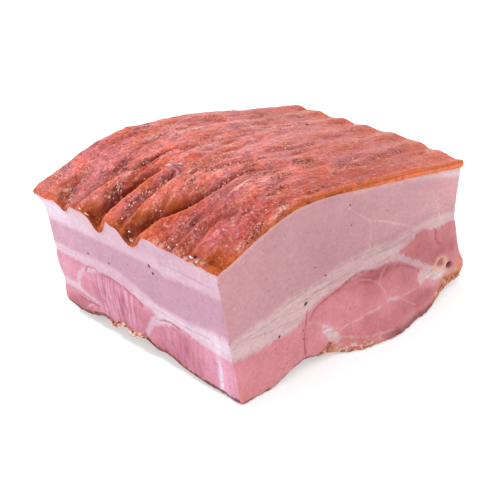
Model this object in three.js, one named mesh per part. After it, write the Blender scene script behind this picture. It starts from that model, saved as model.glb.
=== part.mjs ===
// A chunk of slab bacon: smoked pork belly with its rind on, cut square on four sides.
// It is one solid. A finely divided block is bent into shape point by point: the rind's crown and folds
// on top, four cut sides that bulge where the lean meat swells, and an uneven smoked underside.
// Millimetres, +Z up. The long cut lies along X, the short cut along Y, the origin is under the middle.

import * as THREE from 'three';
import { mergeVertices } from 'three/addons/utils/BufferGeometryUtils.js';

// The block, measured from its front corner, where the long cut and the short cut meet,
// the thickness of its rind, and the place of its middle
const LENGTH = 118;
const DEPTH = 89;
const RIND = 2.4;
const ORIGIN = [57.6, 41.7];

// How finely the block is divided along its length, its depth and its height,
// and how much closer the divisions stand at the short cut, where the folds are
const STEPS = [30, 52, 11];
const CROWDING = 1.35;

// Height of the rind above the table, as pairs of distance from the front corner and height,
// and how much it swells between front and back, at the short cut and at the right end
const CROWN_FRONT = [[0, 48], [8, 51], [18, 55.5], [32, 59.3], [45, 59.4], [60, 57.8], [90, 54.4], [118, 50]];
const CROWN_BACK = [[0, 47.6], [8, 52.6], [16, 58], [24, 61], [34, 62.7], [45, 62.2], [62, 61.2], [80, 57.8],
  [100, 53.4], [118, 50]];
const CROWN_SWELL = [1.6, -0.2];

// Folds that run in from the short cut: where they lie (along, back), their width, depth and length
const FOLDS = [
  { lies: [[0, 12], [10, 14], [24, 14]], width: 2.2, depth: 0.9, reach: 20 },
  { lies: [[0, 23], [10, 22], [30, 19]], width: 2.4, depth: 1.3, reach: 26 },
  { lies: [[0, 38.5], [6, 37], [12, 33], [18, 30.5], [40, 29]], width: 3.9, depth: 4.6, reach: 38 },
  { lies: [[0, 46], [15, 45.5], [34, 42]], width: 2.2, depth: 1.2, reach: 34 },
  { lies: [[0, 55], [8, 54.8], [16, 54.2], [34, 55]], width: 4, depth: 4.6, reach: 32 },
  { lies: [[0, 65], [15, 65], [27, 65], [46, 67]], width: 2, depth: 1.6, reach: 48 },
  { lies: [[0, 71.8], [8, 75.8], [24, 79]], width: 2.6, depth: 2.6, reach: 24 },
];

// Wrinkles that cross the whole rind: their spacing, how far they bend back over the length, and
// their height in the middle and at the right end, where they make a scalloped edge. They rise to the one
// and then to the other over these stretches of the length.
const WRINKLE = { spacing: 13, bend: 10.5, middle: 0.35, end: 0.7 };
const RISE_TO_MIDDLE = [20, 60];
const RISE_TO_END = [80, LENGTH];

// How high the bottom edge stands off the table along the long cut and along the short cut
const LIFT_FRONT = [[0, 0], [15, 0], [20, 1.6], [25, 2.8], [30, 3.2], [38, 1.8], [46, 0.3], [52, 0],
  [90, 0], [98, 0.5], [107, 1.8], [118, 1.6]];
const LIFT_LEFT = [[0, 0], [9, 0.7], [24, 2], [32, 4.2], [38, 3.8], [45, 5.3], [51, 4.2], [57, 5.7],
  [61, 3.8], [66, 5.4], [73, 3.2], [82, 1.7], [89, 3.7]];
const LIFT_BACK = [[0, 3.7], [20, 1.6], [45, 2.8], [75, 1.2], [100, 2.6], [118, 3.6]];
const LIFT_RIGHT = [[0, 1.6], [20, 1.2], [42, 2.6], [66, 1.4], [89, 3.6]];
const LIFT_REACH = 15;

// The lean meat at the foot of the long cut swells out towards the front, up to a height by the white seam
const SWELL_FRONT = [[0, 0], [38, 0.5], [46, 2.5], [53, 6.3], [61, 8.1], [69, 9.2], [80, 7.4],
  [91, 6.1], [98, 4], [107, 1.5], [118, 0]];
const SWELL_TOP = 34;

// Lean of the cut sides over the height of the front corner, and the right corner's edge from foot to rind,
// as pairs of height and distance along, with the fatty tip that sticks out near its foot
const CORNER_HEIGHT = 46;
const LEAN_LEFT = [6.4, 7.6];
const LEAN_FRONT = [2.9, 1.8];
const LEAN_RIGHT = 4.5;
const RIGHT_EDGE = [[1, 117], [6, 121.8], [13, 118.2], [20, 115.8], [30, 114.4], [50, 117]];
const RIGHT_EDGE_REACH = 0.35;

// How far the rind flares out at the rear left corner, from which share of the height, over which share
// of the length, and how far the rind stands out over the cuts before its upper edge is rounded
const CORNER_FLARE = 5.4;
const FLARE_FROM = 0.85;
const FLARE_REACH = 0.16;
const RIND_OVERHANG = 0.5;
const RIND_ROUNDING = 0.9;

// A smooth line through hand-set points, level with its neighbours' slope at each of them
function smoothLine(points) {
  const slopes = points.map((point, i) => {
    const before = points[Math.max(i - 1, 0)];
    const after = points[Math.min(i + 1, points.length - 1)];
    return (after[1] - before[1]) / (after[0] - before[0]);
  });
  return (at) => {
    const x = THREE.MathUtils.clamp(at, points[0][0], points[points.length - 1][0]);
    const i = Math.max(points.findLastIndex((point, k) => k < points.length - 1 && point[0] <= x), 0);
    const [x0, y0] = points[i];
    const [x1, y1] = points[i + 1];
    const run = x1 - x0;
    const u = (x - x0) / run;
    const start = (1 + 2 * u) * (1 - u) ** 2 * y0 + u * (1 - u) ** 2 * run * slopes[i];
    const end = u * u * (3 - 2 * u) * y1 + u * u * (u - 1) * run * slopes[i + 1];
    return start + end;
  };
}

const mix = THREE.MathUtils.lerp;
const fadeOut = (distance, reach) => 1 - THREE.MathUtils.smoothstep(distance, 0, reach);

const crownFront = smoothLine(CROWN_FRONT);
const crownBack = smoothLine(CROWN_BACK);
const liftFront = smoothLine(LIFT_FRONT);
const liftLeft = smoothLine(LIFT_LEFT);
const liftBack = smoothLine(LIFT_BACK);
const liftRight = smoothLine(LIFT_RIGHT);
const swellFront = smoothLine(SWELL_FRONT);
const rightEdge = smoothLine(RIGHT_EDGE);
const folds = FOLDS.map((fold) => ({ ...fold, lies: smoothLine(fold.lies) }));

// Depth of the rind's folds at a place on top of the block
function foldDepth(along, back) {
  let depth = 0;
  for (const fold of folds) {
    const off = (back - fold.lies(along)) / fold.width;
    depth += fold.depth * Math.exp(-off * off) * fadeOut(along, fold.reach);
  }
  return depth;
}

function rindHeight(along, back) {
  const share = back / DEPTH;
  const swell = mix(CROWN_SWELL[0], CROWN_SWELL[1], along / LENGTH) * Math.sin(Math.PI * share);
  const crown = mix(crownFront(along), crownBack(along), share) + swell;
  const phase = (back - WRINKLE.bend * (along / LENGTH) ** 2) / WRINKLE.spacing;
  const middle = WRINKLE.middle * THREE.MathUtils.smoothstep(along, ...RISE_TO_MIDDLE);
  const height = mix(middle, WRINKLE.end, THREE.MathUtils.smoothstep(along, ...RISE_TO_END));
  return crown + height * Math.cos(2 * Math.PI * phase) - foldDepth(along, back);
}

// The middle of the underside lies flat on the table; only its edges curl up
function undersideHeight(along, back) {
  const front = liftFront(along) * fadeOut(back, LIFT_REACH);
  const left = liftLeft(back) * fadeOut(along, LIFT_REACH);
  const rear = liftBack(along) * fadeOut(DEPTH - back, LIFT_REACH);
  const right = liftRight(back) * fadeOut(LENGTH - along, LIFT_REACH);
  return Math.max(front, left, rear, right);
}

// Place of a point of the block: s, t and h run from 0 to 1 along it, back from the long cut, and up
function place(s, t, h) {
  const along = s * LENGTH;
  const back = t * DEPTH;
  const foot = undersideHeight(along, back);
  const top = rindHeight(along, back);
  const underRind = 1 - 1 / STEPS[2];
  const inRind = h > underRind + 1e-6;
  const z = inRind ? top : mix(foot, top - RIND, h / underRind);

  const rise = z / CORNER_HEIGHT;
  const flare = CORNER_FLARE * THREE.MathUtils.smoothstep(h, FLARE_FROM, 1);
  const leftSide = -rise * mix(LEAN_LEFT[0], LEAN_LEFT[1], t);
  const squared = THREE.MathUtils.smoothstep(t, 0, RIGHT_EDGE_REACH);
  const rightSide = mix(rightEdge(z), LENGTH + LEAN_RIGHT * rise, squared);
  const swell = swellFront(along) * Math.max(0, 1 - z / SWELL_TOP);
  const frontSide = rise * mix(LEAN_FRONT[0], LEAN_FRONT[1], s) - swell;
  const backSide = DEPTH + flare * fadeOut(s, FLARE_REACH);

  const proud = inRind ? RIND_OVERHANG - RIND_ROUNDING : RIND_OVERHANG * (h > underRind - 1e-6);
  const x = mix(leftSide - proud, rightSide + proud, s);
  const y = mix(frontSide - proud, backSide + proud, t);
  return new THREE.Vector3(x - ORIGIN[0], y - ORIGIN[1], z);
}

function slabGeometry() {
  const block = new THREE.BoxGeometry(1, 1, 1, ...STEPS);
  block.deleteAttribute('normal');
  block.deleteAttribute('uv');
  const geometry = mergeVertices(block, 1e-5);
  const points = geometry.attributes.position;
  for (let i = 0; i < points.count; i++) {
    const s = (points.getX(i) + 0.5) ** CROWDING;
    const moved = place(s, points.getY(i) + 0.5, points.getZ(i) + 0.5);
    points.setXYZ(i, moved.x, moved.y, moved.z);
  }
  geometry.computeVertexNormals();
  return geometry;
}

const meat = new THREE.MeshStandardMaterial({ color: '#d8949c', roughness: 0.45, metalness: 0 });
const slab = new THREE.Mesh(slabGeometry(), meat);
slab.name = 'bacon_slab';

const bacon = new THREE.Group();
bacon.name = 'bacon';
bacon.add(slab);

export default bacon;
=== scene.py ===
# A chunk of slab bacon on a pale table: smoked pork belly, cut square, with its wrinkled rind on top.
# The script follows the food from the inside out: the meat, the scraps at its foot, the rind, the drops of
# fat on the rind and the beads of fat in its pores, the crumbs of smoke, and last the table with its light
# and camera.
# Sizes are in millimetres, and become metres when a mesh is made. The depths of bumps, the scales of light
# under a surface and the settings of strewn lumps are in metres.

import math

import bmesh
import bpy
import numpy as np
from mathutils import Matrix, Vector, noise


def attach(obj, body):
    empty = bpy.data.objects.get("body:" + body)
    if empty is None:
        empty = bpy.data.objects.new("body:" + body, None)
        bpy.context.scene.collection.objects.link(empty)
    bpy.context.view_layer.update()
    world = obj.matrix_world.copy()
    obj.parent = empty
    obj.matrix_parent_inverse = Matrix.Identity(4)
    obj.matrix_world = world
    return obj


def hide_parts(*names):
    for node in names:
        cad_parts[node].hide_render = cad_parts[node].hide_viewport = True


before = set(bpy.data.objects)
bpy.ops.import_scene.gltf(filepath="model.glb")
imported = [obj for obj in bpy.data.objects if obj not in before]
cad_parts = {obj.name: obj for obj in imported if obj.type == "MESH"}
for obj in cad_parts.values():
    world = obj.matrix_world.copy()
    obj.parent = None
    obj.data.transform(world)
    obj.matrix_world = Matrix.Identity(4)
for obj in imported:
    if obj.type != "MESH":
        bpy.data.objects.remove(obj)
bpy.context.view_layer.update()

# The meat
# A side of belly is pressed into a slab while it cures. It is layered: pale fat under the rind, a broad
# layer of pink cured meat, a streaky white seam, and below it the lean muscles of the flank, each in its
# own membrane. The knife has laid them all open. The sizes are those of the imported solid.
LENGTH = 118.0
DEPTH = 89.0
RIND = 2.4
MIDDLE = (57.6, 41.7)
CROWN_FRONT = [(0, 48), (8, 51), (18, 55.5), (32, 59.3), (45, 59.4), (60, 57.8), (90, 54.4), (118, 50)]
CROWN_BACK = [(0, 47.6), (8, 52.6), (16, 58), (24, 61), (34, 62.7), (45, 62.2), (62, 61.2), (80, 57.8),
              (100, 53.4), (118, 50)]
CROWN_SWELL = (1.6, -0.2)
LIFT_FRONT = [(0, 0), (15, 0), (20, 1.6), (25, 2.8), (30, 3.2), (38, 1.8), (46, 0.3), (52, 0),
              (90, 0), (98, 0.5), (107, 1.8), (118, 1.6)]
LIFT_LEFT = [(0, 0), (9, 0.7), (24, 2), (32, 4.2), (38, 3.8), (45, 5.3), (51, 4.2), (57, 5.7),
             (61, 3.8), (66, 5.4), (73, 3.2), (82, 1.7), (89, 3.7)]
LIFT_BACK = [(0, 3.7), (20, 1.6), (45, 2.8), (75, 1.2), (100, 2.6), (118, 3.6)]
LIFT_RIGHT = [(0, 1.6), (20, 1.2), (42, 2.6), (66, 1.4), (89, 3.6)]
LIFT_REACH = 15.0
SWELL_FRONT = [(0, 0), (38, 0.5), (46, 2.5), (53, 6.3), (61, 8.1), (69, 9.2), (80, 7.4),
               (91, 6.1), (98, 4), (107, 1.5), (118, 0)]
SWELL_TOP = 34.0
CORNER_HEIGHT = 46.0
LEAN_LEFT = (6.4, 7.6)
LEAN_FRONT = (2.9, 1.8)
LEAN_RIGHT = 4.5
RIGHT_EDGE = [(1, 117), (6, 121.8), (13, 118.2), (20, 115.8), (30, 114.4), (50, 117)]
CORNER_FLARE = 5.4
FLARE_DROP = 5.0
FLARE_SHARE = 0.16
RIGHT_EDGE_SHARE = 0.35


def mix(a, b, share):
    return a + (b - a) * share


def fade_in(value, start, end):
    """0 up to start, 1 from end on, and a smooth step between."""
    share = np.clip((value - start) / (end - start), 0, 1)
    return share * share * (3 - 2 * share)


def smooth_line(points):
    """A smooth curve through given points, as a function of their first number."""
    at = np.array([p[0] for p in points], float)
    level = np.array([p[1] for p in points], float)
    slope = np.gradient(level)
    slope[1:-1] = (level[2:] - level[:-2]) / (at[2:] - at[:-2])
    slope[0] = (level[1] - level[0]) / (at[1] - at[0])
    slope[-1] = (level[-1] - level[-2]) / (at[-1] - at[-2])

    def curve(x):
        x = np.clip(x, at[0], at[-1])
        i = np.clip(np.searchsorted(at, x, side="right") - 1, 0, len(at) - 2)
        run = at[i + 1] - at[i]
        u = (x - at[i]) / run
        start = (1 + 2 * u) * (1 - u) ** 2 * level[i] + u * (1 - u) ** 2 * run * slope[i]
        end = u * u * (3 - 2 * u) * level[i + 1] + u * u * (u - 1) * run * slope[i + 1]
        return start + end

    return curve


crown_front = smooth_line(CROWN_FRONT)
crown_back = smooth_line(CROWN_BACK)
lift_front = smooth_line(LIFT_FRONT)
lift_left = smooth_line(LIFT_LEFT)
lift_back = smooth_line(LIFT_BACK)
lift_right = smooth_line(LIFT_RIGHT)
swell_front = smooth_line(SWELL_FRONT)
right_edge = smooth_line(RIGHT_EDGE)

# The rind shrinks in the smoke and gathers into folds that run in from the short cut. Each fold drops
# steeply behind a raised lip, and shelves gently up its far bank, which is the one that faces the eye.
FOLDS = [
    dict(lies=[(0, 39), (5.5, 36.6), (9, 33.6), (12, 31), (16, 29.2), (21, 28.4), (28, 28), (40, 27)],
         mouth=3.6, steep=1.5, gentle=5.0, depth=5.4, reach=38),
    dict(lies=[(0, 54.6), (5, 54.4), (10, 53.8), (15, 53.2), (22, 53), (32, 53)],
         mouth=2.4, steep=1.4, gentle=4.4, depth=5.0, reach=33),
    dict(lies=[(0, 71.8), (8, 75.8), (24, 79)], mouth=1.8, steep=1.4, gentle=3.0, depth=2.6, reach=17),
]

# A fold lies along its listed places (along, back). Across it, it is steep on the near side and gentle on
# the far one, with its own width at the mouth, and it dies out at its reach.
MOUTH_REACH = 11.0
SETS_IN = (-2, 6)
DIES_FROM = 0.3
LIP_HEIGHT = 0.12
LIP_OFF = 1.8
LIP_WIDTH = 0.55
BANK_OFF = 0.9
BANK_WIDTH = 0.8
BANK_START = -0.3
FULL_BANK_DEPTH = 1.5
WRINKLE_SPACING = 13.0
WRINKLE_BEND = 10.5
WRINKLE_MIDDLE = 0.2
WRINKLE_END = 0.45
RISE_TO_MIDDLE = (20, 60)
RISE_TO_END = (80, LENGTH)


def read_folds(folds, along, back):
    """How deep the folds lie at each place, and the strength of their lips and of their far banks."""
    depth = np.zeros_like(along)
    lip = np.zeros_like(along)
    bank = np.zeros_like(along)
    for fold in folds:
        off = back - smooth_line(fold["lies"])(along)
        steep = mix(fold["mouth"], fold["steep"], fade_in(along, 0, MOUTH_REACH))
        width = np.where(off < 0, steep, fold["gentle"])
        start = fold["lies"][0][0]
        dies_from = start + DIES_FROM * (fold["reach"] - start)
        strength = fold["depth"] * (1 - fade_in(along, dies_from, fold["reach"]))
        strength = strength * (fade_in(along, start + SETS_IN[0], start + SETS_IN[1]) if start else 1)
        depth = depth + strength * np.exp(-(off / width) ** 2)
        near = np.exp(-((off + LIP_OFF * steep) / (LIP_WIDTH * steep)) ** 2)
        lip = np.maximum(lip, near * strength)
        far = np.exp(-((off - BANK_OFF * fold["gentle"]) / (BANK_WIDTH * fold["gentle"])) ** 2)
        bank = np.maximum(bank, (off > BANK_START) * far * np.clip(strength / FULL_BANK_DEPTH, 0, 1))
    return depth, lip, bank


def crown(along, back):
    """Height of the rind's outside: its dome, its cross wrinkles, and its folds with their lips."""
    share = back / DEPTH
    swell = mix(CROWN_SWELL[0], CROWN_SWELL[1], along / LENGTH) * np.sin(math.pi * share)
    phase = (back - WRINKLE_BEND * (along / LENGTH) ** 2) / WRINKLE_SPACING
    middle = WRINKLE_MIDDLE * fade_in(along, *RISE_TO_MIDDLE)
    height = mix(middle, WRINKLE_END, fade_in(along, *RISE_TO_END))
    wave = height * np.cos(2 * math.pi * phase)
    depth, lip, _ = read_folds(FOLDS, along, back)
    return mix(crown_front(along), crown_back(along), share) + swell + wave - depth + LIP_HEIGHT * lip


THIN_RIND = 1.3
THIN_REACH = 24
THICK_EXTRA = 0.7
THICKENS = (45, 85)
RAGGED = 0.7
RAGGED_SIZE = (1, 2.2, 1)
RAGGED_REACH = 6


def rind_thickness(along, back):
    """The skin is thinnest and ragged where it curls over the short cut, and thickest at the right end."""
    even = mix(THIN_RIND, RIND, fade_in(along, 0, THIN_REACH)) + THICK_EXTRA * fade_in(along, *THICKENS)
    ragged = RAGGED * rough(0 * along, back, 0 * along, RAGGED_SIZE, 25)
    return even + ragged * (1 - fade_in(along, 0, RAGGED_REACH))


def underside(along, back):
    """Height of the foot: flat on the table in the middle, curled up at its edges."""
    front = lift_front(along) * (1 - fade_in(back, 0, LIFT_REACH))
    left = lift_left(back) * (1 - fade_in(along, 0, LIFT_REACH))
    rear = lift_back(along) * (1 - fade_in(DEPTH - back, 0, LIFT_REACH))
    right = lift_right(back) * (1 - fade_in(LENGTH - along, 0, LIFT_REACH))
    return np.maximum.reduce([front, left, rear, right])


def in_place(along, back, z, top, proud):
    """Points of the slab in metres. proud is how far each side stands out: left, right, front, rear."""
    s = along / LENGTH
    t = back / DEPTH
    rise = z / CORNER_HEIGHT
    left = -rise * mix(LEAN_LEFT[0], LEAN_LEFT[1], t)
    right = mix(right_edge(z), LENGTH + LEAN_RIGHT * rise, fade_in(t, 0, RIGHT_EDGE_SHARE))
    swell = swell_front(along) * np.maximum(0, 1 - z / SWELL_TOP)
    front = rise * mix(LEAN_FRONT[0], LEAN_FRONT[1], s) - swell
    flare = CORNER_FLARE * (1 - fade_in(top - z, 0, FLARE_DROP)) * (1 - fade_in(s, 0, FLARE_SHARE))
    x = mix(left - proud[0], right + proud[1], s) - MIDDLE[0]
    y = mix(front - proud[2], DEPTH + flare + proud[3], t) - MIDDLE[1]
    return np.stack([x, y, z], -1) / 1000


def round_edge(one, other, radius):
    """Distances from two sides that meet, changed so that their edge is round."""
    p = np.maximum(radius - one, 0)
    q = np.maximum(radius - other, 0)
    far = np.maximum(p, q)
    turn = math.pi / 4 * np.minimum(p, q) / np.maximum(far, 1e-9)
    long_leg = far * np.cos(turn)
    short_leg = far * np.sin(turn)
    one = one + p - np.where(p >= q, long_leg, short_leg)
    other = other + q - np.where(p >= q, short_leg, long_leg)
    return one, other


def round_uprights(along, back, radius):
    """Rounds the four upright edges of the slab."""
    for far_end in (False, True):
        for far_side in (False, True):
            a = LENGTH - along if far_end else along
            b = DEPTH - back if far_side else back
            a, b = round_edge(a, b, radius)
            along = LENGTH - a if far_end else a
            back = DEPTH - b if far_side else b
    return along, back


def round_rim(along, back, level, radii):
    """Rounds the edges between the sides (left, right, front, rear) and the face that level starts from."""
    for side in range(4):
        a = (along, LENGTH - along, back, DEPTH - back)[side]
        a, level = round_edge(a, level, radii[side])
        if side < 2:
            along = LENGTH - a if side else a
        else:
            back = DEPTH - a if side == 3 else a
    return along, back, level


def block_grid(cells, foot_step, lid_step):
    """A closed block of cells: its grid places (i, j, k) and its faces. Foot and lid can be coarser."""
    ni, nj, nk = cells
    used = np.zeros((ni + 1, nj + 1, nk + 1), bool)
    used[[0, ni], :, :] = True
    used[:, [0, nj], :] = True
    used[::foot_step, ::foot_step, 0] = True
    used[::lid_step, ::lid_step, nk] = True
    ids = np.full(used.shape, -1)
    ids[used] = np.arange(used.sum())
    faces = []
    for wall, turned in ((ids[:, 0, :], False), (ids[:, nj, :], True), (ids[0], True), (ids[ni], False)):
        quads = np.stack([wall[:-1, :-1], wall[1:, :-1], wall[1:, 1:], wall[:-1, 1:]], -1).reshape(-1, 4)
        faces.extend((quads[:, ::-1] if turned else quads).tolist())
    for level, step, turned in ((ids[:, :, 0], foot_step, True), (ids[:, :, nk], lid_step, False)):
        for i in range(0, ni, step):
            for j in range(0, nj, step):
                sides = [
                    (j == 0, [(i + n, j) for n in range(step)]),
                    (i + step == ni, [(i + step, j + n) for n in range(step)]),
                    (j + step == nj, [(i + step - n, j + step) for n in range(step)]),
                    (i == 0, [(i, j + step - n) for n in range(step)]),
                ]
                ring = [int(level[place]) for border, row in sides for place in (row if border else row[:1])]
                faces.append(ring[::-1] if turned else ring)
    return np.argwhere(used), faces


def make_piece(name, points, faces, fields=None):
    """A smooth mesh object at the origin, with its named surface fields."""
    mesh = bpy.data.meshes.new(name)
    mesh.from_pydata(points.tolist(), [], faces)
    for field, values in (fields or {}).items():
        mesh.attributes.new(field, "FLOAT", "POINT").data.foreach_set("value", np.asarray(values, np.float32))
    mesh.shade_smooth()
    piece = bpy.data.objects.new(name, mesh)
    bpy.context.scene.collection.objects.link(piece)
    return piece


def rough(along, back, up, size, seed):
    """Smooth random relief from -1 to 1 with lumps of the given size in millimetres along each axis."""
    shift = Vector((seed * 17.3, seed * 5.7, seed * 11.9))
    scaled = np.stack([along / size[0], back / size[1], up / size[2]], -1)
    return np.array([noise.noise(Vector(p) + shift) for p in scaled.tolist()])


# What the knife shows on each cut side, in millimetres across the side and up. White fat runs in the seam
# and in branches from it, whose half width is given at both ends. Membranes are thin and pale, creases thin
# and dark, streaks grey. Tones, warm spots and stripes have a middle and half sizes, and tones and stripes
# a strength.
LONG_CUT = dict(
    pale_foot=[(0, 46), (10, 49.3), (20, 53), (30, 56), (45, 57), (55, 56), (60, 54.3), (75, 52.2),
               (90, 49.8), (105, 46.8), (118, 43.5)],
    seam_top=[(0, 22.4), (10, 24.4), (20, 26), (28, 28), (40, 28.8), (50, 31), (62, 32), (78, 31.5),
              (92, 32), (104, 31.8), (118, 30.5)],
    seam_foot=[(0, 16.5), (8, 15.6), (18, 16), (29, 17), (36, 20.5), (48, 24.3), (62, 26), (70, 25),
               (77, 25.4), (84, 27.2), (92, 28.7), (97, 29.7), (103, 27.8), (118, 27)],
    branches=[([(74, 26.8), (80, 25), (86.9, 20.9), (90.6, 18.3), (94.5, 15.4), (98.6, 12.2), (103, 9),
                (108, 6.5), (120, 5.6)], 1.2, 1.0),
              ([(88.6, 12.8), (90.6, 14), (94.5, 12.2), (98, 10), (102, 7.8)], 1.7, 1.3),
              ([(35, 15.6), (38.5, 14), (41, 11.5), (42.6, 8.5), (44.5, 6)], 0.2, 0.9),
              ([(41.2, 10), (42, 7.4), (43.8, 5.6)], 1.7, 1.2),
              ([(67.6, 13.4), (69.6, 13.1), (71.6, 12.2)], 0.3, 0.6)],
    membranes=[[(44, 7.5), (50, 10.3), (56, 11.4), (62, 12), (66, 12.7), (69.5, 13), (78, 11.2), (90, 10.6)],
               [(59.8, 23.7), (63.6, 22.2), (66.3, 20.1), (68, 16.4), (68.5, 13.1), (73.6, 11.4), (77.2, 8),
                (80.4, 5.6)],
               [(57, 50), (62, 46), (68, 42), (75, 39.5), (82, 36.5), (91, 32.5)],
               [(68, 42), (68.4, 36), (67.5, 32)],
               [(103, 40), (106, 36), (107.5, 32)],
               [(45.5, 5.8), (51.7, 4.4), (58, 3.6), (67, 2.8)],
               [(66.4, 19.6), (69.2, 22.2), (73.2, 24.1)],
               [(88.6, 15), (89.2, 13.2), (87.6, 11.6)]],
    creases=[[(34.8, 20.5), (33, 16), (31.5, 12), (30.3, 8.5), (30, 5)],
             [(35, 16.6), (38, 19.6), (43, 21.6), (48, 23), (54, 25.2), (59, 26.1), (64, 25.6), (70, 22.9)],
             [(72.6, 24.1), (77, 22.8), (82.4, 20.8), (86.8, 18.4), (89.6, 15.4)],
             [(60, 24.4), (65, 22.8), (70, 23.4), (74, 23)],
             [(105, 27), (104, 23), (106, 21)]],
    streaks=[[(3, 21.3), (20, 23.3), (35, 25), (50, 27.1), (63, 28.6)],
             [(20, 25.3), (32, 27.2), (45, 28.3)],
             [(28, 28.6), (36, 28.2), (44, 28.7)],
             [(48, 30.8), (60, 31.2), (72, 30.7), (90, 31.6)],
             [(70, 29.8), (80, 29.3), (92, 30.9)]],
    tones=[(95, 23, 10, 7, 1.0), (112, 20, 7, 9, 0.85), (80, 16.5, 8, 6, 0.55), (70, 6.5, 20, 4.5, 0.45),
           (88, 7, 9, 3, 0.5), (14, 8, 16, 9, 0.0), (50, 40, 22, 13, 0.8), (112, 42, 10, 14, -0.7),
           (97, 10.4, 7, 2.8, -1.9), (20, 32, 14, 6, 0.1), (41.4, 8.4, 3, 3.4, -2.0),
           (56, 17, 12, 7, 0.0), (66, 23.4, 7, 1.7, 1.5), (75, 23, 12, 3, 0.4), (101, 17, 5, 3, 0.9),
           (86, 29.6, 9, 1.4, 0.7), (62, 19, 5, 4, 0.5), (78, 32, 6, 1.6, 0.8)],
    bark=[(0, 1.1), (20, 1.1), (35, 1.4), (40, 2.8), (48, 2.2), (58, 1.8), (66, 0.9), (84, 0.9), (92, 3.6),
          (100, 6.2), (106, 5.2), (112, 3.6), (118, 3.4)],
    warm=[(41, 4, 3.6, 2.8), (50, 2.2, 7, 1.8), (112, 5, 8, 3.2), (117, 7, 5, 4), (103, 5.5, 6, 2.2),
          (0.5, 1.2, 3, 2)],
    stripes=[],
)
SHORT_CUT = dict(
    pale_foot=[(0, 38), (10, 38.3), (20, 37.8), (27, 37.2), (30, 38.6), (45, 38.9), (60, 38.7), (89, 38.5)],
    seam_top=[(0, 24), (8, 24.2), (18, 23), (28, 23), (38, 25), (47, 27.8), (56, 29.7), (70, 29.2),
              (89, 28.6)],
    seam_foot=[(0, 16), (10, 16.3), (22, 17.8), (31, 18.8), (38, 20), (48, 23.2), (58, 24.6), (66, 24.7),
               (74, 25.4), (89, 25.8)],
    branches=[([(30, 20), (34, 18), (38, 15), (41, 11), (43, 7.5)], 2.6, 0.4),
              ([(7, 16), (7.2, 9), (7.6, 3)], 0.5, 0.9),
              ([(62, 26), (69, 24), (75, 21.6), (78, 18), (79.5, 12.5)], 0.3, 0.9),
              ([(60, 9.4), (68, 10.4), (75, 11.4), (81, 13), (91, 13.6)], 0.1, 1.8)],
    membranes=[[(52, 23), (51, 15), (52, 8)], [(70, 10), (76, 6), (80, 2)], [(0.5, 46), (0.5, 24), (0.5, 2)]],
    creases=[[(19, 17.6), (25, 18.4), (30, 18.8), (34, 17.6)],
             [(66, 25.5), (70, 25), (72.5, 22.5)],
             [(42, 20.2), (48, 22.6), (55, 24.2), (63, 24.6)],
             [(69, 9), (76, 8.4), (80, 8.8)]],
    streaks=[[(10, 20.8), (24, 20.6), (36, 21.8)], [(4, 41), (20, 41.5), (30, 41)]],
    tones=[(24, 9, 12, 8, 1.1), (36, 6, 6, 3, 0.6), (58, 16, 14, 9, 1.2), (81, 5, 11, 4, 0.9),
           (10, 12, 5, 8, -0.5), (83, 19, 7, 7, -0.35), (2, 8, 3, 9, -0.7), (6.5, 8, 1.6, 11, -2.2),
           (30, 31, 34, 8, 0.35),
           (82, 33, 9, 6, -0.5), (24, 44, 24, 3.5, 0.5), (82, 44, 10, 5, -1.0), (30, 21, 60, 2.5, -0.6)],
    bark=[(0, 0.9), (10, 1.6), (24, 2.4), (38, 2.4), (60, 2.2), (75, 2.0), (89, 1.8)],
    warm=[(50, 5.5, 6, 1.8), (60, 5, 5, 1.6)],
    stripes=[(58, 16, 13, 9, 1.0), (22, 10, 13, 8, 0.5)],
)
RIGHT_CUT = dict(
    pale_foot=[(0, 43.5), (20, 43), (50, 42.4), (89, 42)],
    seam_top=[(0, 30.5), (20, 32), (45, 30), (70, 27.5), (89, 26)],
    seam_foot=[(0, 27), (18, 27.5), (30, 25), (50, 22), (70, 20.5), (89, 20)],
    branches=[([(-2, 5.5), (12, 7), (25, 12), (36, 18), (44, 24)], 1.0, 1.9),
              ([(60, 21), (65, 14), (69, 7), (70, 0)], 1.6, 0.4),
              ([(28, 13), (40, 11), (52, 12), (66, 12)], 0.5, 0.3)],
    membranes=[[(10, 27), (14, 20), (13, 12), (12, 7)], [(76, 20), (80, 12), (79, 3)], [(40, 11), (44, 4)],
               [(30, 42), (44, 37), (60, 30)]],
    creases=[[(30, 25), (34, 22), (36, 18)], [(50, 22), (56, 20), (60, 20)], [(20, 8), (28, 11)]],
    streaks=[[(10, 29.5), (30, 28), (50, 26.5)], [(45, 25), (66, 24), (84, 23)]],
    tones=[(14, 18, 10, 8, 0.7), (50, 14, 12, 7, 0.3), (34, 6, 14, 5, 0.5), (80, 12, 8, 9, 0.2),
           (45, 36, 25, 8, 0.4)],
    bark=[(0, 1.8), (20, 1.2), (45, 2.0), (66, 1.3), (89, 1.6)],
    warm=[(3, 5, 6, 3), (48, 2, 8, 1.6)],
    stripes=[(50, 12, 12, 8, 1.0)],
)
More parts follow.
